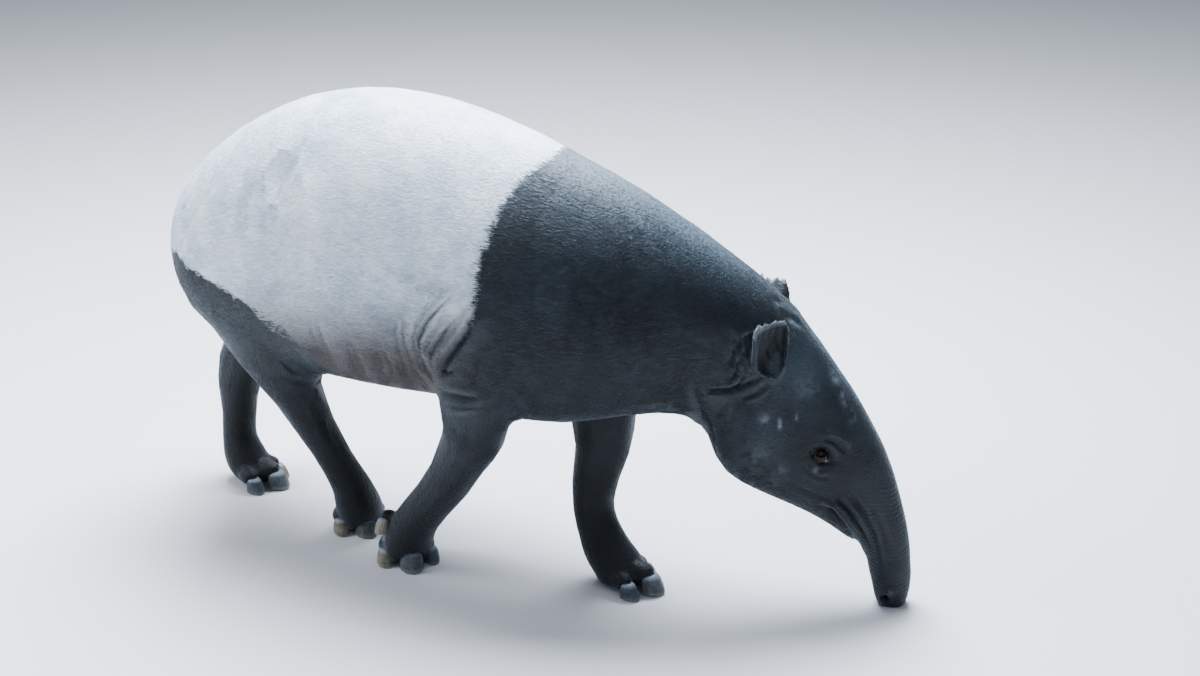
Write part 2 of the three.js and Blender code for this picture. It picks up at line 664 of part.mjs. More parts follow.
const legCuts = { foreleg: [330, 92], hindleg: [330, 92] };
for (const leg of legs) {
  const kind = leg.name.split('_')[0];
  const label = leg.name.split('_')[1];
  const toes = toePlans[leg.toes];
  let limb = solid(legGeometry(leg.stations, leg.heading));
  for (const toe of toes) limb = limb.add(solid(placeToe(toeGeometry(toe), leg, toe)));
  for (const toe of toes) limb = limb.subtract(solid(placeToe(hoofGeometry(toe, partGap), leg, toe)));
  limb = limb.subtract(bodyClear).subtract(floor);
  const down = new THREE.Vector3(0, 0, -1);
  const [upper, rest] = part(limb, new THREE.Vector3(0, 0, legCuts[kind][0]), down);
  const [shank, foot] = part(rest, new THREE.Vector3(0, 0, legCuts[kind][1]), down);
  addNode(`${kind}_${label}_upper`, upper, coatBlack, 0.8);
  addNode(`${kind}_${label}_lower`, shank, coatBlack, 0.8);
  addNode(`${kind}_${label}_foot`, foot, coatBlack, 0.8);
  for (const toe of toes) {
    const hoof = solid(placeToe(hoofGeometry(toe), leg, toe)).subtract(floor);
    addNode(`hoof_${kind}_${label}_${toe.digit}`, hoof, hornGrey, 0.55);
  }
}

// The origin is on the floor, below the middle of the whole animal.
const bounds = new THREE.Box3().setFromObject(root);
const middle = bounds.getCenter(new THREE.Vector3());
root.position.set(-middle.x, -middle.y, 0);

export default root;
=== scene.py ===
from math import radians, sin, cos

import bmesh
import bpy
import numpy as np
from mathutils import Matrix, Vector


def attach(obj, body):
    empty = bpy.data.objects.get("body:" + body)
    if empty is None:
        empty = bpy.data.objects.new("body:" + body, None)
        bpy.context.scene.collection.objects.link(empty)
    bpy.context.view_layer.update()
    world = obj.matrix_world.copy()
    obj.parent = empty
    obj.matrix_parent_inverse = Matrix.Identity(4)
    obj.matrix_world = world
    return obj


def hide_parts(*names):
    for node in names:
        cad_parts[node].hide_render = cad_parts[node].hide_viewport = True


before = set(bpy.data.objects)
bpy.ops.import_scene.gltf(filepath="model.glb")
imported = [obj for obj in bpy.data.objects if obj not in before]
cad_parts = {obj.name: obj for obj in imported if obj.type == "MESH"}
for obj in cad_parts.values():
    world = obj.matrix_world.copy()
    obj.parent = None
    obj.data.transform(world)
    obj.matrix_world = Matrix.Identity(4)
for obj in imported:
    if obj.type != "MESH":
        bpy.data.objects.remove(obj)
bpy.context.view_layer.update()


# Room
# A plain pale floor under wide, soft lamps, and a camera at the photograph's viewing angle:
# 31 degrees round to the animal's right front and 21 degrees above it, through a 66 mm lens.

def linear(hex_colour):
    """An sRGB hex colour as the linear RGBA that a shader takes."""
    parts = [int(hex_colour[i:i + 2], 16) / 255 for i in (1, 3, 5)]
    return tuple(c / 12.92 if c <= 0.04045 else ((c + 0.055) / 1.055) ** 2.4 for c in parts) + (1.0,)


def add_node(tree, kind, settings=None, links=None):
    """A shader node: settings by socket name, socket number or property, links from a socket or node."""
    node = tree.nodes.new(kind)
    for name, value in (settings or {}).items():
        if isinstance(name, int) or name in node.inputs:
            node.inputs[name].default_value = value
        else:
            setattr(node, name, value)
    for name, source in (links or {}).items():
        tree.links.new(getattr(source, "outputs", [source])[0], node.inputs[name])
    return node


def new_material(name):
    """A material, with its node tree and its output node."""
    material = bpy.data.materials.new(name)
    material.use_nodes = True
    material.node_tree.nodes.clear()
    output = add_node(material.node_tree, "ShaderNodeOutputMaterial")
    return material, material.node_tree, output


def to_mesh(shape, name):
    """The mesh of a finished bmesh."""
    mesh = bpy.data.meshes.new(name)
    shape.to_mesh(mesh)
    shape.free()
    return mesh


def add_object(name, data):
    """An object at the origin, linked into the scene."""
    thing = bpy.data.objects.new(name, data)
    bpy.context.scene.collection.objects.link(thing)
    return thing


floor_reach = 20.0
floor_shape = bmesh.new()
bmesh.ops.create_grid(floor_shape, x_segments=2, y_segments=2, size=floor_reach)
floor = add_object("studio_floor", to_mesh(floor_shape, "studio_floor"))

# Matt painted board: pale, with no gloss.
painted_board, tree, output = new_material("painted_board")
board = add_node(tree, "ShaderNodeBsdfPrincipled", {"Base Color": linear("#d9dadb"), "Roughness": 0.9})
tree.links.new(board.outputs["BSDF"], output.inputs["Surface"])
floor.data.materials.append(painted_board)

world = bpy.data.worlds.new("studio")
bpy.context.scene.world = world
world.use_nodes = True
world.node_tree.nodes["Background"].inputs["Color"].default_value = linear("#d3dfeb")
world.node_tree.nodes["Background"].inputs["Strength"].default_value = 0.29

for name, place, aim, size, power, colour in (
    ("sky_lamp", (-0.5, 1.0, 3.9), (0.0, 0.0, 0.6), 2.6, 560, "#eef4ff"),
    ("front_lamp", (3.2, -2.6, 4.2), (0.3, 0.0, 0.4), 4.4, 62, "#dfeaff"),
    ("rump_lamp", (-3.4, -2.2, 3.0), (-0.5, 0.0, 0.7), 2.2, 140, "#f2f6ff"),
):
    lamp_data = bpy.data.lights.new(name, "AREA")
    lamp_data.size = size
    lamp_data.energy = power
    lamp_data.color = linear(colour)[:3]
    lamp = add_object(name, lamp_data)
    lamp.location = place
    lamp.rotation_euler = (Vector(aim) - Vector(place)).to_track_quat("-Z", "Y").to_euler()

bpy.context.scene.view_settings.look = "AgX - Medium High Contrast"

camera_data = bpy.data.cameras.new("camera")
camera_data.lens = 66.0
camera_data.sensor_width = 36.0
camera_data.clip_end = 100.0
camera = add_object("camera", camera_data)
camera.location = (2.4436, -3.6555, 2.2132)
camera_aim = Vector((0.0779, 0.2816, 0.45))
camera.rotation_euler = (camera_aim - camera.location).to_track_quat("-Z", "Y").to_euler()
bpy.context.scene.camera = camera


# Skin
# The whole animal's hide in one piece: thick, nearly bare-looking skin under hair a centimetre long.
# It is drawn over the flesh of the solid model, a coat's depth inside it, and then folded behind the
# elbow and on the belly, furrowed along the trunk, and opened round the eyes, mouth and nostrils.

coat_depth = 0.002
skin_grid = 0.0035
weld_distance = 0.00002
node_gap = 0.0003
flesh_nodes = [
    "torso", "shoulders", "hindquarters", "neck", "head", "lower_jaw", "snout", "tail",
    "ear_left", "ear_right",
] + [f"{leg}leg_{side}_{part}" for leg in ("fore", "hind") for side in ("left", "right")
     for part in ("upper", "lower", "foot")]

# The neck is bent: the spine runs straight, turns left over this stretch, and runs on straight.
model_shift = Vector((-0.22212, -0.02836, 0.0))
bend_start, bend_end, bend_angle = 0.290, 0.630, radians(26)
bend_radius = (bend_end - bend_start) / bend_angle


def straighten(places):
    """Places on the animal as if its neck were straight: along the spine, to the left, and up, in mm."""
    x = places[:, 0] - model_shift.x
    y = places[:, 1] - model_shift.y
    turned = np.arctan2(x - bend_start, bend_radius - y)
    in_arc_u = bend_start + bend_radius * turned
    in_arc_v = bend_radius - np.hypot(x - bend_start, bend_radius - y)
    dx = x - bend_start - bend_radius * sin(bend_angle)
    dy = y - bend_radius * (1 - cos(bend_angle))
    after_u = bend_end + dx * cos(bend_angle) + dy * sin(bend_angle)
    after_v = -dx * sin(bend_angle) + dy * cos(bend_angle)
    before, after = turned <= 0, turned >= bend_angle
    u = np.where(before, x, np.where(after, after_u, in_arc_u))
    v = np.where(before, y, np.where(after, after_v, in_arc_v))
    return np.stack([u, v, places[:, 2]], axis=1) * 1000


def bend(u, v, z):
    """The place on the animal, in metres, of one given on the straightened body in millimetres."""
    u, v, z = u / 1000, v / 1000, z / 1000
    angle = min(max((u - bend_start) / bend_radius, 0.0), bend_angle)
    before, after = min(u, bend_start), max(u - bend_end, 0.0)
    x = before + bend_radius * sin(angle) + after * cos(angle) - v * sin(angle)
    y = bend_radius * (1 - cos(angle)) + after * sin(angle) + v * cos(angle)
    return Vector((x, y, z)) + model_shift


def bend_direction(u, du, dv, dz):
    """A direction on the straightened body, turned to lie as it does on the animal."""
    angle = min(max((u / 1000 - bend_start) / bend_radius, 0.0), bend_angle)
    return Vector((du * cos(angle) - dv * sin(angle), du * sin(angle) + dv * cos(angle), dz)).normalized()


def ramp(value, low, high):
    """0 below the low value, 1 above the high one, and a smooth rise between."""
    t = np.clip((value - low) / (high - low), 0.0, 1.0)
    return t * t * (3 - 2 * t)


def one_side(body):
    """Places on the straightened body with both sides laid on one: along, outward and up."""
    return np.stack([body[:, 0], np.abs(body[:, 1]), body[:, 2]], axis=1)


def blob(body, centre, reach, mirrored=True):
    """1 at a place on the straightened body, falling softly to 0 at about its reach."""
    v = np.abs(body[:, 1]) if mirrored else body[:, 1]
    d = ((body[:, 0] - centre[0]) / reach[0]) ** 2
    d += ((v - centre[1]) / reach[1]) ** 2
    d += ((body[:, 2] - centre[2]) / reach[2]) ** 2
    return np.exp(-1.6 * d)


def read_rows(items, attribute, width, kind=float):
    """One attribute of every item of a mesh, a row of numbers each."""
    values = np.empty(len(items) * width, dtype=kind)
    items.foreach_get(attribute, values)
    return values.reshape(-1, width)


def read_places(mesh):
    return read_rows(mesh.vertices, "co", 3)


def read_normals(mesh):
    return read_rows(mesh.vertex_normals, "vector", 3)


def write_places(mesh, places):
    mesh.vertices.foreach_set("co", places.ravel())
    mesh.update()


def modified(mesh, name, kind, **settings):
    """The mesh with one modifier applied."""
    carrier = add_object(name, mesh)
    modifier = carrier.modifiers.new(kind.lower(), kind)
    for key, value in settings.items():
        setattr(modifier, key, value)
    result = bpy.data.meshes.new_from_object(carrier.evaluated_get(bpy.context.evaluated_depsgraph_get()))
    bpy.data.objects.remove(carrier)
    return result


def relax(mesh, weight, rounds):
    """Draws each vertex towards the middle of its neighbours, by its weight, round after round."""
    edges = read_rows(mesh.edges, "vertices", 2, np.int32)
    start = np.concatenate([edges[:, 0], edges[:, 1]])
    end = np.concatenate([edges[:, 1], edges[:, 0]])
    moving = weight > 0.001
    used = moving[start]
    start, end = start[used], end[used]
    places = read_places(mesh)
    count = np.maximum(np.bincount(start, minlength=len(places)), 1)
    for _ in range(rounds):
        for axis in range(3):
            mean = np.bincount(start, weights=places[end, axis], minlength=len(places)) / count
            places[:, axis] += np.where(moving, weight * (mean - places[:, axis]), 0.0)
    write_places(mesh, places)


# The flesh grows by the gap between the solids, so that they run together.
flesh = bmesh.new()
for node_name in flesh_nodes:
    flesh.from_mesh(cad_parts[node_name].data)
bmesh.ops.remove_doubles(flesh, verts=flesh.verts, dist=weld_distance)
flesh.normal_update()
for vert in flesh.verts:
    vert.co += vert.normal * node_gap
flesh_data = to_mesh(flesh, "flesh")
skin_data = modified(flesh_data, "flesh", "REMESH", mode="VOXEL", voxel_size=skin_grid, adaptivity=0.0)

# The cut edges and flat facets of the solids melt away: widely on the barrel and where the legs join it,
# a little on the legs, and least on the face, feet and ears.
body = straighten(read_places(skin_data))
u, side, z = one_side(body).T
on_ear = ramp(side, 88, 100) * ramp(z, 515, 545) * ramp(u, 770, 790)
on_face = ramp(u, 820, 900)
barrel = ramp(z, 470, 560) * (1 - ramp(u, 640, 800))
roots = np.zeros(len(body))
for centre, reach in (
    ((300, -190, 500), (190, 120, 110)), ((410, 160, 500), (160, 120, 110)),
    ((-320, -180, 510), (190, 120, 120)), ((-470, 165, 540), (180, 120, 160)),
    ((0, 0, 400), (420, 260, 70)),
):
    roots = np.maximum(roots, blob(body, centre, reach, mirrored=False))
wide = np.clip(np.maximum(barrel, 1.4 * roots), 0, 1) * (1 - on_ear) * ramp(z, 330, 420)
relax(skin_data, wide, rounds=130)
fine = np.clip(1 - 0.93 * on_ear - 0.25 * on_face, 0.05, 1)
relax(skin_data, fine, rounds=10)
chin = (1014, 0, 146)
on_chin = blob(body, chin, (22, 40, 20)) * (body[:, 0] < 1028)
relax(skin_data, np.clip(1.5 * on_chin, 0, 0.9), rounds=30)

# Round the eyes, mouth and nostrils the net of the skin is made twice as fine, and at the eyes twice more.
eye_centre = (937.0, 71.0, 369.0)
eye_radius = 17.0


def halve_edges(shape, chosen):
    """Cuts each edge of a bmesh in two where both of its ends are chosen."""
    shape.verts.ensure_lookup_table()
    edges = [e for e in shape.edges if chosen[e.verts[0].index] and chosen[e.verts[1].index]]
    bmesh.ops.subdivide_edges(shape, edges=edges, cuts=1, use_grid_fill=True)


fine_skin = bmesh.new()
fine_skin.from_mesh(skin_data)
body = straighten(read_places(skin_data))
near_eye = np.linalg.norm(one_side(body) - eye_centre, axis=1) < 44
near_mouth = (body[:, 0] > 940) & (body[:, 2] < 262) & (body[:, 0] < 1060) & (body[:, 2] > 90)
near_tip = (body[:, 0] > 1050) & (body[:, 2] < 62)
halve_edges(fine_skin, near_eye | near_mouth | near_tip)
fine_skin.verts.ensure_lookup_table()
body = straighten(np.array([v.co for v in fine_skin.verts]))
halve_edges(fine_skin, np.linalg.norm(one_side(body) - eye_centre, axis=1) < 36)
fine_skin.to_mesh(skin_data)
fine_skin.free()


def distance_to(body, line, sides="both"):
    """How far places on the straightened body are from a line (mm), and how far along it (0 to 1)."""
    v = {"both": np.abs(body[:, 1]), "right": -body[:, 1], "left": body[:, 1]}[sides]
    places = np.stack([body[:, 0], v, body[:, 2]], axis=1)
    best = np.full(len(places), 1e6)
    progress = np.zeros(len(places))
    line = np.array(line, dtype=float)
    low, high = line.min(0) - 120, line.max(0) + 120
    near = np.all((places > low) & (places < high), axis=1)
    for number, (a, b) in enumerate(zip(line[:-1], line[1:])):
        along = b - a
        t = np.clip((places[near] - a) @ along / (along @ along), 0, 1)
        gap = np.linalg.norm(places[near] - a - t[:, None] * along, axis=1)
        progress[near] = np.where(gap < best[near], (number + t) / (len(line) - 1), progress[near])
        best[near] = np.minimum(best[near], gap)
    return best, progress


# Each fold: what it is, the line it follows (along, outward, up, in mm), about half its width, how high it
# stands or (negative) how deep it sinks, the height of the lips beside it, and the sides that have it.
mouth_line = [(950, 62, 248), (968, 60, 232), (988, 56, 203), (1008, 48, 169), (1024, 40, 140),
              (1030, 28, 118)]
folds = [
    ("roll behind the shoulder", [(334, 241, 729), (316, 246, 676), (297, 247, 644), (272, 244, 610),
     (246, 236, 574), (237, 226, 550), (239, 221, 540)], 9.5, 12.0, 0.0, "both"),
    ("crease before the roll", [(326, 244, 690), (311, 246, 642), (290, 242, 604), (266, 235, 570),
     (250, 226, 546), (241, 219, 534)], 6.0, -15.0, 2.0, "both"),
    ("crease behind the roll", [(300, 247, 684), (280, 249, 650), (254, 247, 616), (233, 239, 584),
     (226, 229, 556), (232, 220, 534)], 5.0, -8.5, 0.0, "both"),
    ("band behind the roll", [(276, 248, 676), (244, 250, 630), (222, 244, 590), (216, 230, 552)],
     12, 4.0, 0.0, "both"),
    ("crease of the girth", [(300, 244, 744), (279, 248, 709), (247, 252, 676), (219, 250, 640),
     (205, 246, 610), (200, 237, 574), (204, 221, 540), (211, 201, 508), (218, 190, 480)],
     5, -9.0, 2.0, "both"),
    ("side wrinkle", [(175, 254, 650), (163, 246, 602), (164, 230, 552), (172, 201, 504),
     (176, 170, 464)], 6, -3.5, 1.5, "both"),
    ("belly wrinkle front", [(146, 232, 560), (145, 211, 515), (136, 179, 475), (124, 130, 436)],
     6, -4.0, 1.5, "both"),
    ("belly wrinkle middle", [(105, 250, 600), (109, 225, 525), (84, 175, 465), (60, 130, 425)],
     7, -3.5, 1.5, "both"),
    ("belly wrinkle rear", [(25, 250, 590), (28, 225, 517), (14, 170, 455), (0, 120, 418)],
     7, -3.5, 1.5, "both"),
    ("flank wrinkle", [(-62, 250, 620), (-48, 225, 530), (-58, 175, 462)], 8, -4.0, 1.5, "both"),
    ("hollow before the haunch", [(-142, 180, 944), (-160, 192, 915), (-174, 210, 872), (-182, 224, 828)],
     24, -15.0, 0.0, "both"),
    ("edge of the haunch", [(-196, 176, 930), (-224, 205, 868), (-236, 232, 800), (-226, 248, 720)],
     34, 5.0, 0.0, "both"),
    ("ridge of the flank", [(-112, 190, 935), (-86, 225, 878), (-76, 243, 822)], 30, 3.0, 0.0, "both"),
    ("fold of the stifle", [(-150, 215, 520), (-135, 195, 470), (-150, 160, 430)], 8, -5.0, 2.0, "both"),
    ("elbow crease high", [(236, 220, 538), (262, 225, 543), (288, 230, 554)], 5.5, -10.0, 3.5, "right"),
    ("elbow crease middle", [(234, 217, 492), (274, 232, 496), (306, 235, 499), (334, 235, 506)],
     6.5, -11.0, 4.5, "right"),
    ("elbow crease low", [(234, 217, 466), (269, 233, 469), (298, 236, 473), (322, 235, 484)],
     6, -8.0, 4.0, "right"),
    ("elbow crease", [(318, 150, 462), (360, 200, 470), (440, 206, 480)], 7, -3.5, 1.5, "left"),
    ("knee crease low", [(-216, 186, 425), (-201, 183, 418), (-181, 159, 397), (-176, 80, 380)],
     5.5, -5.0, 2.0, "right"),
    ("knee crease high", [(-206, 190, 446), (-184, 166, 428), (-172, 100, 410)], 5.5, -3.5, 1.5, "right"),
    ("hock crease", [(-520, 150, 300), (-508, 100, 296), (-522, 62, 300)], 6, -2.5, 1.0, "left"),
    ("neck crease", [(676, 124, 532), (714, 112, 519), (750, 107, 520), (784, 103, 535)],
     7, -7.5, 2.2, "both"),
    ("jaw groove", [(678, 118, 540), (684, 114, 500), (695, 72, 440), (714, 31, 362)],
     12, -6.0, 0.0, "both"),
    ("throat crease", [(640, 120, 740), (626, 150, 660), (622, 150, 560), (632, 120, 480)],
     14, -4.0, 1.0, "left"),
    ("throat crease", [(560, 120, 800), (540, 176, 700), (536, 182, 600), (548, 150, 500)],
     16, -4.0, 1.0, "left"),
    ("ear fold front", [(800, 98, 628), (788, 101, 604), (771, 108, 576), (752, 109, 536)],
     5, -5.5, 1.8, "both"),
    ("ear fold middle", [(806, 98, 596), (793, 101, 580), (778, 105, 550), (764, 106, 528)],
     5, -5.0, 1.8, "both"),
    ("ear fold high", [(790, 100, 640), (764, 110, 611), (744, 115, 574)], 5.5, -4.5, 1.6, "both"),
    ("ear fold low", [(818, 98, 552), (796, 101, 540), (770, 105, 528)], 5, -4.0, 1.8, "both"),
    ("ear fold under", [(830, 98, 534), (804, 101, 512), (774, 104, 500)], 6, -2.4, 1.4, "both"),
    ("brow fold", [(938, 83, 410), (950, 82, 409), (966, 79, 403), (980, 74, 390), (990, 71, 370)],
     7, -5.0, 0.8, "both"),
    ("brow ridge", [(942, 82, 421), (962, 78, 420), (984, 71, 406), (1000, 66, 386)],
     11, 3.4, 0.0, "both"),
    ("fold under the eye", [(905, 86, 352), (916, 84, 334), (934, 81, 322), (960, 77, 318)],
     5, -2.6, 0.6, "both"),
    ("bag under the eye", [(914, 86, 348), (930, 83, 336), (954, 79, 331)], 6, 2.4, 0.0, "both"),
    ("cheek line", [(880, 78, 304), (906, 74, 286), (936, 69, 271), (971, 67, 266)],
     8, -3.0, 0.6, "both"),
    ("mouth corner", mouth_line[:4], 9.0, -6.0, 0.0, "both"),
    ("mouth", mouth_line, 4.6, -9.0, 0.0, "both"),
    ("upper lip", [(950, 64, 262), (972, 64, 250), (997, 61, 216), (1018, 53, 180), (1034, 44, 148),
     (1042, 34, 122)], 8, 7.5, 0.0, "both"),
    ("lower lip", [(962, 54, 216), (984, 46, 192), (1004, 38, 164)], 6, 2.6, 0.0, "both"),
    ("lip fold", [(964, 68, 280), (977, 67, 268), (1003, 63, 239), (1028, 54, 196), (1047, 45, 148),
     (1058, 38, 104)], 5, -7.0, 1.2, "both"),
    ("ridge beside the lip fold", [(988, 69, 278), (1014, 63, 242), (1040, 54, 192), (1058, 44, 138)],
     6, 2.6, 0.0, "both"),
    ("trunk furrow", [(990, 70, 296), (1010, 67, 268), (1032, 61, 236), (1054, 50, 184), (1068, 42, 128),
     (1078, 37, 76)], 5, -4.8, 1.0, "both"),
    ("trunk furrow front", [(1040, 58, 262), (1062, 50, 210), (1082, 42, 150)], 7, -2.6, 0.8, "both"),
    ("crown fold", [(854, 47, 663), (874, 35, 654), (893, 26, 635)], 7, -2.4, 1.2, "both"),
    ("nape fold", [(830, 40, 694), (850, 24, 686), (858, 0, 684)], 8, -2.2, 1.0, "both"),
    ("tail fold", [(-566, 36, 716), (-588, 34, 680), (-594, 30, 640)], 8, -4.0, 2.0, "both"),
]


def fold_height(body):
    """How far folds move the skin out (mm), and how far (0 to 1) a place is in a crease and on a lip."""
    height, depth, crest = np.zeros(len(body)), np.zeros(len(body)), np.zeros(len(body))
    for _, line, width, rise, lips, sides in folds:
        away, progress = distance_to(body, line, sides)
        taper = 0.15 + 0.85 * ramp(progress, 0, 0.3) * (1 - ramp(progress, 0.8, 1.0))
        rise, lips = rise * taper, lips * taper
        core = np.exp(-(away / width) ** 2)
        height += rise * core
        lip = np.exp(-((away - 1.9 * width) / (0.9 * width)) ** 2)
        height += lips * lip
        crest = np.maximum(crest, lip * np.minimum(1.0, lips / 4.0))
        wide = np.exp(-(away / (1.3 * width)) ** 2)
        depth = np.maximum(depth, wide * np.clip(-rise / 7.0, 0, 1) * min(1.0, 9.0 / width))
    return height, depth, crest


def write_value(mesh, name, values):
    layer = mesh.attributes.get(name) or mesh.attributes.new(name, "FLOAT", "POINT")
    layer.data.foreach_set("value", np.ascontiguousarray(values, dtype=np.float32))


body = straighten(read_places(skin_data))
height, creased, crested = fold_height(body)
# Kept for the colour: the creases' depth for painted shade, their lips' crests for a painted highlight.
write_value(skin_data, "fold", creased)
write_value(skin_data, "lip", crested)

# Muscle and fat under the skin: how far each mass stands out (mm), its middle and its reach.
for rise, centre, reach in (
    (9, (285, 232, 590), (110, 90, 90)), (5, (385, 205, 800), (70, 90, 110)),
    (-4, (470, 195, 700), (45, 90, 120)), (6, (-420, 190, 620), (110, 90, 110)),
    (-5, (-520, 120, 560), (60, 90, 60)), (4, (560, 160, 620), (80, 80, 110)),
    (3, (800, 98, 400), (50, 50, 60)), (-3, (905, 84, 470), (45, 40, 50)), (3, (850, 90, 330), (50, 40, 26)),
    (3, (930, 30, 590), (40, 30, 40)), (-2, (975, 0, 520), (40, 26, 60)),
):
    height += rise * blob(body, centre, reach)

# The hide sinks by the coat's depth, less on the ears and feet, and the trunk is ringed by fine ripples.
places = read_places(skin_data)
normals = read_normals(skin_data)
on_ear = ramp(np.abs(body[:, 1]), 90, 100) * ramp(body[:, 2], 525, 560) * ramp(body[:, 0], 770, 790)
inset = coat_depth * 1000 * (1 - 0.9 * on_ear) * ramp(body[:, 2], 70, 110)
on_chin = blob(body, chin, (20, 30, 18))
height *= 1 - 0.95 * np.clip(1.4 * on_chin, 0, 1)
on_trunk = ramp(body[:, 0], 1000, 1060) * (1 - ramp(body[:, 2], 230, 330)) * ramp(body[:, 2], 6, 30)
ripple = np.sin(body[:, 2] / 1.55 + 3.0 * np.sin(body[:, 0] / 19) + 2.0 * np.sin(body[:, 1] / 11))
height += 0.45 * on_trunk * ripple
places += normals * ((height * (1 - on_ear) - inset) / 1000)[:, None]
places[:, 2] = np.maximum(places[:, 2], 0.0)
write_places(skin_data, places)

# Ears: the rim is nibbled and uneven, and ridges run up the inside of the cup.
ear_root = np.array([836.0, 84.0, 552.0])
ear_up = np.array([-0.06, 0.45, 0.89])
ear_facing = np.array([0.52, 0.82, -0.1])
ear_up /= np.linalg.norm(ear_up)
ear_facing -= ear_up * (ear_facing @ ear_up)
ear_facing /= np.linalg.norm(ear_facing)
ear_across = np.cross(ear_up, ear_facing)


def ear_frame(body):
    """Places measured up, across and out of the ear's cup, and how surely each is on an ear."""
    gap = one_side(body) - ear_root
    up, across, out = gap @ ear_up, gap @ ear_across, gap @ ear_facing
    clear = ramp(np.abs(body[:, 1]) + 0.4 * up, 96, 106)
    on = ramp(up, 2, 26) * (np.abs(across) < 60) * (np.abs(out) < 50) * clear
    return up, across, out, on


def ear_direction(hand, direction):
    """One of the ear's own directions, on the animal's left ear (1) or its right one (-1)."""
    return np.array(bend_direction(ear_root[0], direction[0], hand * direction[1], direction[2]))


places = read_places(skin_data)
normals = read_normals(skin_data)
body = straighten(places)
up, across, out, on_ear = ear_frame(body)
nibble = 2.6 * np.sin(across / 3.1 + 1.0) + 1.7 * np.sin(across / 1.3 + out / 5) - 2.0
rim_lift = on_ear * (ramp(up, 104, 132) * nibble + 12 * ramp(across, -4, 26) * ramp(up, 60, 118))
widen = 13 * on_ear * ramp(across, 0, 18) * np.exp(-((up - 42) / 34) ** 2)
wave = 1.1 + 1.1 * np.sin(across / 2.3 + 0.6 * np.sin(up / 17))
for hand in (1, -1):
    mine = (body[:, 1] * hand > 0) & (on_ear > 0)
    climb, rearward = ear_direction(hand, ear_up), ear_direction(hand, ear_across)
    cupped = ramp(normals[mine] @ ear_direction(hand, ear_facing), 0.1, 0.5)
    ridges = wave[mine] * cupped * (1 - ramp(up[mine], 112, 130))
    places[mine] += climb * (rim_lift[mine] / 1000)[:, None] + rearward * (widen[mine] / 1000)[:, None]
    places[mine] += normals[mine] * (on_ear[mine] * ridges / 1000)[:, None]
write_places(skin_data, places)

# Lids: the skin opens in an almond over the ball, stands up as a thick rim round it, and sinks to the face.
lid_long, lid_above, lid_below = 17.0, 10.5, 9.0


def eye_axes(hand):
    """An eye's middle, and the ways that it looks, its front corner points and its upper lid lies."""
    centre = bend(eye_centre[0], hand * eye_centre[1], eye_centre[2])
    look = bend_direction(eye_centre[0], 0.28, hand * 0.95, 0.10)
    along = bend_direction(eye_centre[0], 0.80, hand * -0.20, -0.58)
    along = (along - look * along.dot(look)).normalized()
    above = look.cross(along)
    return centre, look, along, above if above.z > 0 else -above


def lid_distance(a, b):
    """How far (mm) a place is outside the almond of the lids; negative inside it."""
    tall = np.where(b > 0, lid_above, lid_below)
    inside = (a / lid_long) ** 2 + np.abs(b) / tall - 1
    return inside / np.hypot(2 * a / lid_long ** 2, 1 / tall)


places = read_places(skin_data)
body = straighten(places)
for hand in (1, -1):
    centre, look, along, above = eye_axes(hand)
    offset = (places - np.array(centre)) * 1000
    a, b, out = offset @ np.array(along), offset @ np.array(above), offset @ np.array(look)
    away = lid_distance(a, b)
    ball = np.sqrt(np.maximum(eye_radius ** 2 - a ** 2 - b ** 2, 9.0))
    upper = ramp(b, -4, 6)
    rim = ball + 1.6 + 1.6 * upper
    wanted = np.where(away < 0, ball - 6.0, rim)
    fade = 1 - ramp(away, 2.0, 15.0)
    crease = -2.4 * upper * np.exp(-((away - 7.0) / 1.8) ** 2)
    crease -= 1.4 * (1 - upper) * np.exp(-((away - 6.0) / 1.8) ** 2)
    here = (out > -4) & (np.hypot(a, b) < 40)
    shift = np.where(here, (wanted - out) * fade + crease, 0.0)
    places += shift[:, None] / 1000 * np.array(look)
write_places(skin_data, places)

# Nostrils: two round holes low on the sides of the trunk's tip, each with a raised rim, which the markings
# paint pale as a highlight.
nostril = (1087.0, 33.0, 26.0)
places = read_places(skin_data)
normals = read_normals(skin_data)
body = straighten(places)
nostril_gap = np.linalg.norm(one_side(body) - nostril, axis=1)
nostril_in = -13 * np.exp(-(nostril_gap / 8) ** 4) + 2.4 * np.exp(-((nostril_gap - 12) / 3.5) ** 2)
places += normals * (nostril_in / 1000)[:, None]
places[:, 2] = np.maximum(places[:, 2], 0.0)
write_places(skin_data, places)
relax(skin_data, np.clip(0.3 * (nostril_gap < 20) + 1.0 * on_chin, 0, 0.6), rounds=8)

# The net is thinned where the hide is smooth, and stays dense on the face, ears and feet.
skin_limit = 196000
skin_object = add_object("skin_full", skin_data)
spare_group = skin_object.vertex_groups.new(name="thin_out")
body = straighten(read_places(skin_data))
on_head = ramp(body[:, 0], 740, 860)
spare = 1 - 0.8 * on_head - 0.35 * (1 - ramp(body[:, 2], 90, 200)) * (1 - on_head)
for step in range(11):
    chosen = np.nonzero(np.round(np.clip(spare, 0, 1) * 10) == step)[0]
    spare_group.add(chosen.tolist(), step / 10, "REPLACE")
skin_data.calc_loop_triangles()
thin = skin_object.modifiers.new("thin", "DECIMATE")
thin.ratio = skin_limit / len(skin_data.loop_triangles)
thin.use_collapse_triangulate = True
thin.vertex_group = "thin_out"
thin.vertex_group_factor = 1.0
skin_data = bpy.data.meshes.new_from_object(skin_object.evaluated_get(bpy.context.evaluated_depsgraph_get()))
bpy.data.objects.remove(skin_object)
skin_data.name = "skin"
skin_data.shade_smooth()

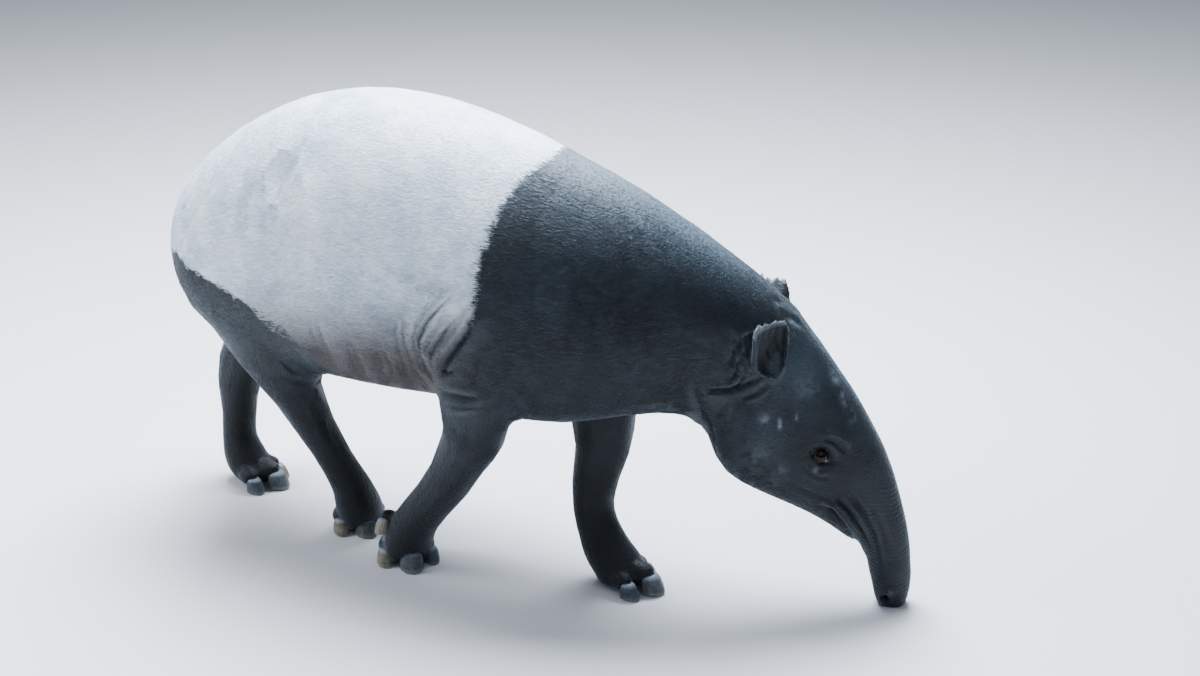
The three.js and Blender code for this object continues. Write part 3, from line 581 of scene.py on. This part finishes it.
# The pale saddle's edge, as points along, outward and up in mm: from the withers down behind the elbow, and
# from the tail round the haunch to the belly, where it ends at belly_rear and belly_bottom.
saddle_front = [(405, 3, 975), (375, 71, 960), (360, 116, 937), (347, 148, 911), (336, 197, 849),
                (329, 227, 781), (330, 240, 742), (326, 244, 690), (311, 246, 642), (290, 242, 604),
                (266, 235, 570), (243, 222, 538), (230, 200, 500), (205, 170, 455), (172, 80, 420),
                (165, 0, 412)]
saddle_rear = [(-640, 0, 650), (-600, 60, 640), (-530, 140, 655), (-468, 207, 669), (-420, 214, 650),
               (-372, 235, 640), (-322, 242, 634), (-281, 246, 611), (-215, 245, 589), (-146, 240, 558),
               (-109, 218, 505), (-96, 160, 455), (-90, 80, 425), (-88, 0, 420)]
flank_front = -100
belly_rear, belly_top, belly_bottom = -92, 520, 385.0


def saddle_distance(body):
    """How far inside (positive) or outside (negative) the saddle's edge each place is, in mm."""
    front = np.array(saddle_front, dtype=float)
    order = np.argsort(front[:, 2])
    front_at = np.interp(body[:, 2], front[order, 2], front[order, 0])
    rear = np.array(saddle_rear, dtype=float)
    order = np.argsort(rear[:, 0])
    rear_at = np.interp(body[:, 0], rear[order, 0], rear[order, 2])
    ahead = front_at - body[:, 0]
    above = body[:, 2] - rear_at
    behind_belly = body[:, 0] - belly_rear
    under = np.where(body[:, 0] > flank_front, 300.0, above)
    edge = np.minimum(ahead, under)
    low_belly = np.where(body[:, 2] < belly_top, np.minimum(edge, behind_belly), edge)
    pattern = np.where(body[:, 0] < flank_front, np.minimum(above, ahead), low_belly)
    return np.minimum(pattern, body[:, 2] - belly_bottom)


# Worn and scarred places (with a painted highlight at the nostril's rim), painted sheen on the top of the
# back, neck and head, and painted shade round the mouth and lower face: each mark's middle (along, outward,
# up, in mm), its reach, and its strength.
pale_marks = [
    ((964, 34, 527), (16, 14, 20), 0.5), ((984, 41, 486), (14, 12, 22), 0.45),
    ((1000, 46, 450), (12, 12, 22), 0.3), ((822, 96, 455), (12, 14, 12), 0.55),
    ((853, 92, 443), (5, 14, 13), 0.9), ((887, 88, 455), (4, 14, 12), 0.6),
    ((804, 95, 362), (40, 30, 40), 0.18), ((856, 90, 340), (22, 20, 18), 0.22),
    ((872, 40, 640), (26, 22, 26), 0.3), ((905, 70, 520), (34, 24, 34), 0.2),
    # The next line's first mark, on the nostril's rim, is a painted highlight.
    ((1090, 33, 40), (14, 14, 9), 0.5), ((928, 86, 342), (7, 14, 9), 0.5),
]
painted_sheen_marks = [
    ((470, 0, 930), (260, 170, 160), 0.8), ((680, 0, 800), (160, 110, 140), 0.6),
    ((440, 200, 740), (150, 120, 150), 0.12), ((890, 60, 560), (90, 60, 80), 0.4),
    ((820, 90, 420), (70, 60, 70), 0.2),
]
painted_shade_marks = [((975, 50, 260), (110, 120, 170), 0.8), ((960, 30, 200), (60, 60, 60), 1.0)]
small_toe = (4, -126, 70)


def marking_values(body, normals):
    """Distance inside the saddle (mm); 0 to 1: bare skin with painted shade, wear with a painted highlight,
    painted sheen, dimming.
    """
    u, z = body[:, 0], body[:, 2]
    # Bare brownish skin low on the flank and belly, with painted shade in the same mark, strongest at the
    # bottom.
    bare = (1 - ramp(z + 0.15 * (110 - u), 530, 750)) * ramp(z, 385, 400)
    bare *= 1 - ramp(np.abs(u - 60), 300, 380)
    worn = np.zeros(len(body))
    for centre, reach, strength in pale_marks:
        worn = np.maximum(worn, strength * blob(body, centre, reach))
    on_toe = blob(body, small_toe, (26, 24, 30), mirrored=False)
    worn = np.maximum(worn, 0.8 * np.clip(1.5 * on_toe, 0, 1))
    lit = np.zeros(len(body))
    for centre, reach, strength in painted_sheen_marks:
        lit += strength * blob(body, centre, reach)
    # Dimming: darker towards the ground on the legs and low body, and painted shade over the lower face and
    # mouth.
    dim = 0.9 * (1 - ramp(z, 120, 520)) * (u < 760)
    for centre, reach, strength in painted_shade_marks:
        dim = np.maximum(dim, strength * blob(body, centre, reach))
    # Painted shade deep inside each ear's cup, fading towards the rim.
    up, across, _, on_ear = ear_frame(body)
    for hand in (1, -1):
        cupped = ramp(normals @ ear_direction(hand, ear_facing), 0.0, 0.4) * (body[:, 1] * hand > 0) * on_ear
        dim = np.maximum(dim, 1.5 * cupped * ramp(30 - across, 0, 16) * (1 - 0.9 * ramp(up, 112, 124)))
    worn = np.maximum(worn, 0.55 * on_ear * ramp(up, 118, 130))
    return {"saddle": saddle_distance(body), "bare": bare, "worn": worn, "lit": np.clip(lit, 0, 1),
            "dim": np.clip(dim, 0, 1)}


body = straighten(read_places(skin_data))
markings = marking_values(body, read_normals(skin_data))
for name, values in markings.items():
    write_value(skin_data, name, values)

skin = add_object("skin", skin_data)


def hide_colour(tree, place, ragged):
    """The tapir's pattern, from the values that skin and coat carry: charcoal, with a grey-white saddle, and
    painted sheen, highlights and shade.
    """
    marks = {}
    for name in ("saddle", "fold", "lip", "bare", "worn", "lit", "dim"):
        marks[name] = add_node(tree, "ShaderNodeAttribute", {"attribute_name": name}).outputs["Fac"]
    # Clouds of tone a hand wide, and a mottling of spots about 15 mm across.
    cloud = add_node(tree, "ShaderNodeTexNoise", {"Scale": 1 / 0.11, "Detail": 4.0, "Roughness": 0.6},
                     {"Vector": place})
    mottle = add_node(tree, "ShaderNodeTexNoise", {"Scale": 1 / 0.016, "Detail": 3.0}, {"Vector": place})
    clouded = add_node(tree, "ShaderNodeMapRange", {"From Min": 0.32, "From Max": 0.68}, {"Value": cloud})
    spotted = add_node(tree, "ShaderNodeMapRange", {"From Min": 0.35, "From Max": 0.6}, {"Value": mottle})
    scars = add_node(tree, "ShaderNodeMath", {"operation": "MULTIPLY"}, {0: marks["worn"], 1: spotted})
    # A painted highlight along the raised lips beside each crease.
    painted_lip_highlight = add_node(tree, "ShaderNodeMath", {"operation": "MULTIPLY", 1: 0.4}, {0: marks["lip"]})
    dark = add_node(tree, "ShaderNodeMixRGB", {"Color1": linear("#12171b"), "Color2": linear("#2a3339")},
                    {"Fac": clouded})
    # Over the charcoal: painted sheen ('lit'), painted shade and darkening towards the ground ('dim'), a
    # painted highlight on fold lips, and pale scars.
    for tone, amount in (("#586873", marks["lit"]), ("#0b1013", marks["dim"]), ("#6a7276", painted_lip_highlight),
                         ("#93a0a9", scars)):
        dark = add_node(tree, "ShaderNodeMixRGB", {"Color2": linear(tone)}, {"Fac": amount, "Color1": dark})
    pale = add_node(tree, "ShaderNodeMixRGB", {"Color1": linear("#c2d2df"), "Color2": linear("#edf3f8")},
                    {"Fac": clouded})
    # Low on the flank and belly the saddle turns brownish-dark: bare skin, with painted shade in the same
    # mark.
    pale = add_node(tree, "ShaderNodeMixRGB", {"Color2": linear("#4b4340")},
                    {"Fac": marks["bare"], "Color1": pale})
    # The saddle's edge wanders by a centimetre.
    wander = add_node(tree, "ShaderNodeMath", {"operation": "MULTIPLY_ADD", 1: 22.0, 2: -11.0}, {0: mottle})
    edge = add_node(tree, "ShaderNodeMath", {"operation": "ADD"}, {0: wander, 1: marks["saddle"]})
    inside = add_node(tree, "ShaderNodeMapRange",
                      {"interpolation_type": "SMOOTHSTEP", "From Min": -ragged, "From Max": ragged},
                      {"Value": edge})
    coat = add_node(tree, "ShaderNodeMixRGB", {}, {"Fac": inside, "Color1": dark, "Color2": pale})
    # Painted shade in the creases of the folds.
    hollow = add_node(tree, "ShaderNodeMath", {"operation": "MULTIPLY", 1: 0.72}, {0: marks["fold"]})
    return add_node(tree, "ShaderNodeMixRGB", {"Color2": linear("#12161a")}, {"Fac": hollow, "Color1": coat})


def hair_relief(tree, place):
    """The grain of short hair that clumps as it lies: back along the body, and down where 'down' is 1."""
    grains = []
    # Clumps 5 mm wide and 10 mm long.
    for clump in ((1 / 0.0105, 1 / 0.0048, 1 / 0.0048), (1 / 0.0048, 1 / 0.0048, 1 / 0.0105)):
        laid = add_node(tree, "ShaderNodeMapping", {"Scale": clump}, {"Vector": place})
        grains.append(add_node(tree, "ShaderNodeTexNoise", {"Scale": 1.0, "Detail": 2.5, "Distortion": 0.4},
                               {"Vector": laid}))
    down = add_node(tree, "ShaderNodeAttribute", {"attribute_name": "down"}).outputs["Fac"]
    lay = add_node(tree, "ShaderNodeMixRGB", {}, {"Fac": down, "Color1": grains[0], "Color2": grains[1]})
    return add_node(tree, "ShaderNodeBump", {"Strength": 0.9, "Distance": 0.0022}, {"Height": lay})


# Hide under short hair: dull and soft, with a bloom of light along the hair tips.
tapir_hide, tree, output = new_material("tapir_hide")
place = add_node(tree, "ShaderNodeTexCoord").outputs["Object"]
hide = add_node(tree, "ShaderNodeBsdfPrincipled",
                {"Roughness": 0.55, "Sheen Weight": 0.48, "Sheen Roughness": 0.4,
                 "Sheen Tint": linear("#c0ccd8")},
                {"Base Color": hide_colour(tree, place, 7.0), "Normal": hair_relief(tree, place)})
tree.links.new(hide.outputs["BSDF"], output.inputs["Surface"])
skin_data.materials.append(tapir_hide)
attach(skin, "root")
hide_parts(*flesh_nodes)


# Coat
# Short glossy hair about a centimetre long, growing from the skin in fine overlapping tufts that lie flat,
# backward from the trunk to the rump and down the legs, and are shortest on the face, ears and feet.

hair_draw = np.random.default_rng(11)
coat_pieces = {
    "coat_head": lambda u, z: u >= 800,
    "coat_neck": lambda u, z: (u >= 560) & (u < 800),
    "coat_shoulders": lambda u, z: (u >= 290) & (u < 560) & (z >= 440),
    "coat_saddle_front": lambda u, z: (u >= 20) & (u < 290) & (z >= 440),
    "coat_saddle_rear": lambda u, z: (u >= -260) & (u < 20) & (z >= 440),
    "coat_rump": lambda u, z: (u < -260) & (z >= 440),
    "coat_forelegs": lambda u, z: (u >= 20) & (u < 560) & (z < 440),
    "coat_hindlegs": lambda u, z: (u < 20) & (z < 440),
}
most_tufts = 48000
tuft_spacing = 0.0030
hair_length, hair_width, hair_lift = 0.0115, 0.0010, 0.0008
root_depth = 0.0009
tuft_patch = np.array([[-0.0015, -0.0015], [0.0015, -0.0015], [0.0, -0.0004], [0.0, 0.0015]])


def hair_down(body):
    """How far the hair lies down a leg (1) instead of back along the body (0)."""
    return (1 - ramp(body[:, 2], 380, 560)) * (1 - ramp(body[:, 0], 640, 760))


def hair_lie(body):
    """The way the hair points, in the model's own directions."""
    u, z = body[:, 0], body[:, 2]
    dip = radians(64) * ramp(u, 560, 880)
    down = hair_down(body)
    droop = 0.28 * ramp(900 - z, 0, 350)
    du, dz = -np.cos(dip), np.sin(dip) - droop * (1 - ramp(u, 620, 800))
    du, dz = du * (1 - down) - 0.12 * down, dz * (1 - down) - 1.0 * down
    turned = np.clip((u / 1000 - bend_start) / bend_radius, 0.0, bend_angle)
    return np.stack([du * np.cos(turned), du * np.sin(turned), dz], axis=1)


write_value(skin_data, "down", hair_down(body))
skin_data.calc_loop_triangles()
corners = read_rows(skin_data.loop_triangles, "vertices", 3, np.int32)
skin_places, skin_normals = read_places(skin_data), read_normals(skin_data)
skin_fold, skin_lip = (
    read_rows(skin_data.attributes[name].data, "value", 1, np.float32)[:, 0] for name in ("fold", "lip"))
triangle = skin_places[corners]
doubled = np.cross(triangle[:, 1] - triangle[:, 0], triangle[:, 2] - triangle[:, 0])
areas = 0.5 * np.linalg.norm(doubled, axis=1)
middles = straighten(triangle.mean(axis=1))

# The skin's own unwrap, on which every tuft has its little patch.
bpy.context.view_layer.objects.active = skin
skin.select_set(True)
bpy.ops.object.mode_set(mode="EDIT")
bpy.ops.mesh.select_all(action="SELECT")
bpy.ops.uv.smart_project(angle_limit=radians(66), island_margin=0.002)
bpy.ops.object.mode_set(mode="OBJECT")
unwrap = read_rows(skin_data.uv_layers.active.data, "uv", 2)
triangle_loops = read_rows(skin_data.loop_triangles, "loops", 3, np.int32)

# Hair: stiff and straight, a little glossier than the skin, and no two tufts of quite the same tone.
short_hair, tree, output = new_material("short_hair")
place = add_node(tree, "ShaderNodeTexCoord").outputs["Object"]
shade = add_node(tree, "ShaderNodeAttribute", {"attribute_name": "shade"}).outputs["Fac"]
shade = add_node(tree, "ShaderNodeMapRange", {"To Min": 0.82, "To Max": 1.14}, {"Value": shade})
hair_colour = add_node(tree, "ShaderNodeMixRGB", {"blend_type": "MULTIPLY", "Fac": 1.0},
                       {"Color1": hide_colour(tree, place, 3.0), "Color2": shade})
hair = add_node(tree, "ShaderNodeBsdfPrincipled",
                {"Roughness": 0.48, "Sheen Weight": 0.48, "Sheen Roughness": 0.4,
                 "Sheen Tint": linear("#c0ccd8")},
                {"Base Color": hair_colour, "Normal": hair_relief(tree, place)})
tree.links.new(hair.outputs["BSDF"], output.inputs["Surface"])

# Each tuft is a closed spike of four triangles, rooted at a place drawn at random on the skin.
for coat_name, belongs in coat_pieces.items():
    chosen = np.nonzero(belongs(middles[:, 0], middles[:, 2]))[0]
    share = areas[chosen] * (1 + 1.2 * ramp(middles[chosen, 0], 800, 900))
    count = int(min(most_tufts, share.sum() / tuft_spacing ** 2))
    picked = hair_draw.choice(chosen, size=count, p=share / share.sum())
    first, second = hair_draw.random(count), hair_draw.random(count)
    over = first + second > 1
    first[over], second[over] = 1 - first[over], 1 - second[over]
    weights = np.stack([1 - first - second, first, second], axis=1)
    roots = (skin_places[corners[picked]] * weights[:, :, None]).sum(axis=1)
    out = (skin_normals[corners[picked]] * weights[:, :, None]).sum(axis=1)
    out /= np.linalg.norm(out, axis=1)[:, None]
    root_uv = (unwrap[triangle_loops[picked]] * weights[:, :, None]).sum(axis=1)
    body = straighten(roots)

    nostril_gap = np.linalg.norm(one_side(body) - nostril, axis=1)
    bald = (nostril_gap < 10) | (body[:, 2] < 4)
    for hand in (1, -1):
        centre, look, along, above = eye_axes(hand)
        offset = (roots - np.array(centre)) * 1000
        near = (np.linalg.norm(offset, axis=1) < 40) & (offset @ np.array(look) > 0)
        bald |= near & (lid_distance(offset @ np.array(along), offset @ np.array(above)) < 4.0)
    bald |= distance_to(body, mouth_line)[0] < 9
    bald |= np.linalg.norm(body - chin, axis=1) < 10
    root_fold, root_lip = (
        (values[corners[picked]] * weights).sum(axis=1) for values in (skin_fold, skin_lip))
    roots, out, root_uv, body, root_fold, root_lip = (
        part[~bald] for part in (roots, out, root_uv, body, root_fold, root_lip))
    count = len(roots)

    lie = hair_lie(body)
    on_ear = ear_frame(body)[3]
    for hand in (1, -1):
        here = on_ear * (body[:, 1] * hand > 0)
        lie = lie * (1 - here)[:, None] + ear_direction(hand, ear_up) * here[:, None]
    lie += hair_draw.normal(0, 0.13, (count, 3))
    lie -= out * (lie * out).sum(axis=1)[:, None]
    lie /= np.linalg.norm(lie, axis=1)[:, None]
    across = np.cross(out, lie)

    on_leg = (1 - ramp(body[:, 2], 330, 480)) * (body[:, 0] < 780)
    on_foot = (1 - ramp(body[:, 2], 60, 150)) * (body[:, 0] < 780)
    root_marks = marking_values(body, out)
    root_marks["fold"], root_marks["lip"] = root_fold, root_lip
    short = 1 - 0.5 * ramp(body[:, 0], 780, 900) - 0.25 * ramp(body[:, 0], 980, 1080)
    short -= 0.35 * on_leg + 0.4 * on_foot + 0.38 * on_ear
    short = np.clip(short * (1 - 0.4 * root_marks["fold"]), 0.18, 1.0)
    length = hair_length * short * hair_draw.uniform(0.75, 1.25, count)
    width = hair_width * (0.5 + 0.5 * short) * hair_draw.uniform(0.8, 1.2, count)
    lift = hair_lift * (0.35 + 0.65 * short) * (1 - 0.5 * on_leg) * hair_draw.uniform(0.5, 1.5, count)
    lift[hair_draw.random(count) < 0.01] *= 1.8

    sunk = roots - out * root_depth
    left = sunk - across * width[:, None]
    right = sunk + across * width[:, None]
    keel = roots + out * (0.45 * lift)[:, None]
    tip = roots + lie * length[:, None] + out * lift[:, None]
    spikes = np.stack([left, right, keel, tip], axis=1).reshape(-1, 3)
    spikes[:, 2] = np.maximum(spikes[:, 2], 0.0004)

    start = np.arange(count)[:, None] * 4
    faces = (start + np.array([[0, 2, 1, 0, 3, 2, 1, 2, 3, 0, 1, 3]])).reshape(-1)
    coat_data = bpy.data.meshes.new(coat_name)
    coat_data.vertices.add(count * 4)
    coat_data.vertices.foreach_set("co", spikes.ravel())
    coat_data.loops.add(count * 12)
    coat_data.loops.foreach_set("vertex_index", faces.astype(np.int32))
    coat_data.polygons.add(count * 4)
    coat_data.polygons.foreach_set("loop_start", np.arange(count * 4, dtype=np.int32) * 3)
    coat_data.update(calc_edges=True)

    patches = (root_uv[:, None, :] + tuft_patch[None]).reshape(-1, 2)
    bake_map = coat_data.uv_layers.new(name="OFBake")
    bake_map.data.foreach_set("uv", np.clip(patches[faces], 0.0, 1.0).ravel())

    root_marks["saddle"] = root_marks["saddle"] + hair_draw.normal(0, 4.0, count)
    root_marks["down"] = hair_down(body)
    root_marks["shade"] = hair_draw.random(count)
    for mark, values in root_marks.items():
        write_value(coat_data, mark, np.repeat(values, 4))
    coat_data.shade_smooth()
    tilt = (out + hair_draw.normal(0, 0.10, (count, 3)))[:, None, :] + np.stack(
        [-0.35 * across, 0.35 * across, np.zeros_like(across), 0.15 * lie], axis=1)
    tilt /= np.linalg.norm(tilt, axis=2)[:, :, None]
    coat_data.normals_split_custom_set_from_vertices(tilt.reshape(-1, 3).tolist())
    coat_data.materials.append(short_hair)
    coat_piece = add_object(coat_name, coat_data)
    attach(coat_piece, "root")


# Eyes
# Small dark brown eyes of a browsing animal: a wide black pupil in a brown iris, wet and clear all over,
# with a pink corner of flesh at the front, where the tears run out.

# A wet eyeball: nearly black, under one sharp glint. Pupil, iris and the brown-stained white round it follow
# the distance from the middle of the ball's front.
eye_surface, tree, output = new_material("wet_eye")
ring = add_node(tree, "ShaderNodeAttribute", {"attribute_name": "ring"}).outputs["Fac"]
in_pupil = add_node(tree, "ShaderNodeMapRange", {"From Min": 0.36, "From Max": 0.42}, {"Value": ring})
in_white = add_node(tree, "ShaderNodeMapRange", {"From Min": 0.66, "From Max": 0.76}, {"Value": ring})
iris = add_node(tree, "ShaderNodeMixRGB", {"Color1": linear("#030303"), "Color2": linear("#22140c")},
                {"Fac": in_pupil})
stained = add_node(tree, "ShaderNodeMixRGB", {"Color2": linear("#33231f")},
                   {"Fac": in_white, "Color1": iris})
wet = add_node(tree, "ShaderNodeBsdfPrincipled", {"Roughness": 0.04, "IOR": 1.38}, {"Base Color": stained})
tree.links.new(wet.outputs["BSDF"], output.inputs["Surface"])

# Wet pink flesh: a soft, small highlight, and the only pink about the eye.
tear_flesh, tree, output = new_material("wet_pink_flesh")
flesh_pink = add_node(tree, "ShaderNodeBsdfPrincipled", {"Base Color": linear("#8c5f5c"), "Roughness": 0.3})
tree.links.new(flesh_pink.outputs["BSDF"], output.inputs["Surface"])

tear_radius, tear_forward, tear_down, tear_out = 0.0042, 0.0115, 0.0012, 0.0098

for name, hand in (("left", 1), ("right", -1)):
    centre, look, along, above = eye_axes(hand)
    ball = bmesh.new()
    bmesh.ops.create_uvsphere(ball, u_segments=72, v_segments=48, radius=eye_radius / 1000)
    bmesh.ops.rotate(ball, verts=ball.verts, matrix=look.to_track_quat("Z", "Y").to_matrix())
    bmesh.ops.translate(ball, verts=ball.verts, vec=centre)
    ball_data = to_mesh(ball, "eyeball_" + name)
    ball_data.shade_smooth()
    offset = (read_places(ball_data) - np.array(centre)) * 1000 / eye_radius
    front = offset @ np.array(look) > 0
    spread = np.hypot(0.82 * (offset @ np.array(along)), offset @ np.array(above))
    write_value(ball_data, "ring", np.where(front, spread, 1.0))
    eyeball = add_object("eyeball_" + name, ball_data)
    ball_data.materials.append(eye_surface)
    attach(eyeball, "root")
    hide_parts("eye_" + name)

    corner = bmesh.new()
    bmesh.ops.create_uvsphere(corner, u_segments=24, v_segments=16, radius=tear_radius)
    corner_place = centre + along * tear_forward - above * tear_down + look * tear_out
    bmesh.ops.translate(corner, verts=corner.verts, vec=corner_place)
    corner_data = to_mesh(corner, "tear_corner_" + name)
    corner_data.shade_smooth()
    tear_corner = add_object("tear_corner_" + name, corner_data)
    corner_data.materials.append(tear_flesh)
    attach(tear_corner, "root")


# Hooves
# Four nails on each forefoot and three on each hind foot, thick shoes of grey or straw-coloured horn that
# grow from the skin and wear down at the rim, where they take the animal's weight.

hoof_nodes = [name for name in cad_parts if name.startswith("hoof_")]
nail_grid = 0.0016
nail_triangles = 5000
toe_paleness = {"middle": 0.15, "inner": 0.0, "outer": 0.8, "small": 1.0}

# Horn: streaked down its length by growth, ringed across, pale and chalky where it wears at the rim, with a
# painted highlight, pale and bluish, along its top.
horn, tree, output = new_material("worn_horn")
place = add_node(tree, "ShaderNodeTexCoord").outputs["Object"]
paleness = add_node(tree, "ShaderNodeAttribute", {"attribute_name": "paleness"}).outputs["Fac"]
height = add_node(tree, "ShaderNodeAttribute", {"attribute_name": "height"}).outputs["Fac"]
# Streaks 2 mm wide and 25 mm long, over rings 3 mm apart.
streaked = add_node(tree, "ShaderNodeMapping", {"Scale": (1 / 0.002, 1 / 0.002, 1 / 0.025)},
                    {"Vector": place})
streaks = add_node(tree, "ShaderNodeTexNoise", {"Scale": 1.0, "Detail": 3.0}, {"Vector": streaked})
ringed = add_node(tree, "ShaderNodeMapping", {"Scale": (1 / 0.03, 1 / 0.03, 1 / 0.003)}, {"Vector": place})
rings = add_node(tree, "ShaderNodeTexNoise", {"Scale": 1.0, "Detail": 2.0}, {"Vector": ringed})
stain = add_node(tree, "ShaderNodeTexNoise", {"Scale": 1 / 0.022, "Detail": 3.0}, {"Vector": place})
stained = add_node(tree, "ShaderNodeMapRange", {"From Min": 0.4, "From Max": 0.65}, {"Value": stain})
streaky = add_node(tree, "ShaderNodeMapRange", {"From Min": 0.3, "From Max": 0.7}, {"Value": streaks})
slate, straw = (
    add_node(tree, "ShaderNodeMixRGB", {"Color1": linear(deep), "Color2": linear(light)}, {"Fac": streaky})
    for deep, light in (("#39424a", "#5d6a74"), ("#7f7a68", "#aaa48e")))
tinted = add_node(tree, "ShaderNodeMixRGB", {}, {"Fac": paleness, "Color1": slate, "Color2": straw})
dirty = add_node(tree, "ShaderNodeMath", {"operation": "MULTIPLY", 1: 0.45}, {0: stained})
soiled = add_node(tree, "ShaderNodeMixRGB", {"Color2": linear("#3b342c")}, {"Fac": dirty, "Color1": tinted})
near_rim = add_node(tree, "ShaderNodeMapRange", {"From Min": 0.3, "From Max": 0.0, "To Max": 0.55},
                    {"Value": height})
chalky = add_node(tree, "ShaderNodeMixRGB", {"Color2": linear("#a7a79d")},
                  {"Fac": near_rim, "Color1": soiled})
# A painted highlight: a pale bluish band along the top of each nail.
painted_top_highlight = add_node(tree, "ShaderNodeMapRange", {"From Min": 0.78, "From Max": 0.92, "To Max": 0.5},
                     {"Value": height})
coloured = add_node(tree, "ShaderNodeMixRGB", {"Color2": linear("#9fb0ba")},
                    {"Fac": painted_top_highlight, "Color1": chalky})
relief = add_node(tree, "ShaderNodeMixRGB", {"Fac": 0.5}, {"Color1": streaks, "Color2": rings})
grooved = add_node(tree, "ShaderNodeBump", {"Strength": 0.8, "Distance": 0.0012}, {"Height": relief})
nail = add_node(tree, "ShaderNodeBsdfPrincipled", {"Roughness": 0.46},
                {"Base Color": coloured, "Normal": grooved})
tree.links.new(nail.outputs["BSDF"], output.inputs["Surface"])
for node_name in hoof_nodes:
    shell = bmesh.new()
    shell.from_mesh(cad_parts[node_name].data)
    bmesh.ops.remove_doubles(shell, verts=shell.verts, dist=weld_distance)
    shell_data = to_mesh(shell, node_name + "_horn")
    nail_data = modified(shell_data, node_name, "REMESH", mode="VOXEL", voxel_size=nail_grid, adaptivity=0.0)
    relax(nail_data, np.full(len(nail_data.vertices), 0.5), rounds=22)
    nail_data.calc_loop_triangles()
    kept_share = min(1.0, nail_triangles / len(nail_data.loop_triangles))
    nail_data = modified(nail_data, node_name, "DECIMATE", ratio=kept_share)
    nail_data.shade_smooth()
    nail_height = read_places(nail_data)[:, 2]
    write_value(nail_data, "height", (nail_height - nail_height.min()) / np.ptp(nail_height))
    write_value(nail_data, "paleness", np.full(len(nail_height), toe_paleness[node_name.split("_")[-1]]))
    nail_data.materials.append(horn)
    nail_piece = add_object(node_name + "_horn", nail_data)
    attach(nail_piece, "root")
    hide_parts(node_name)
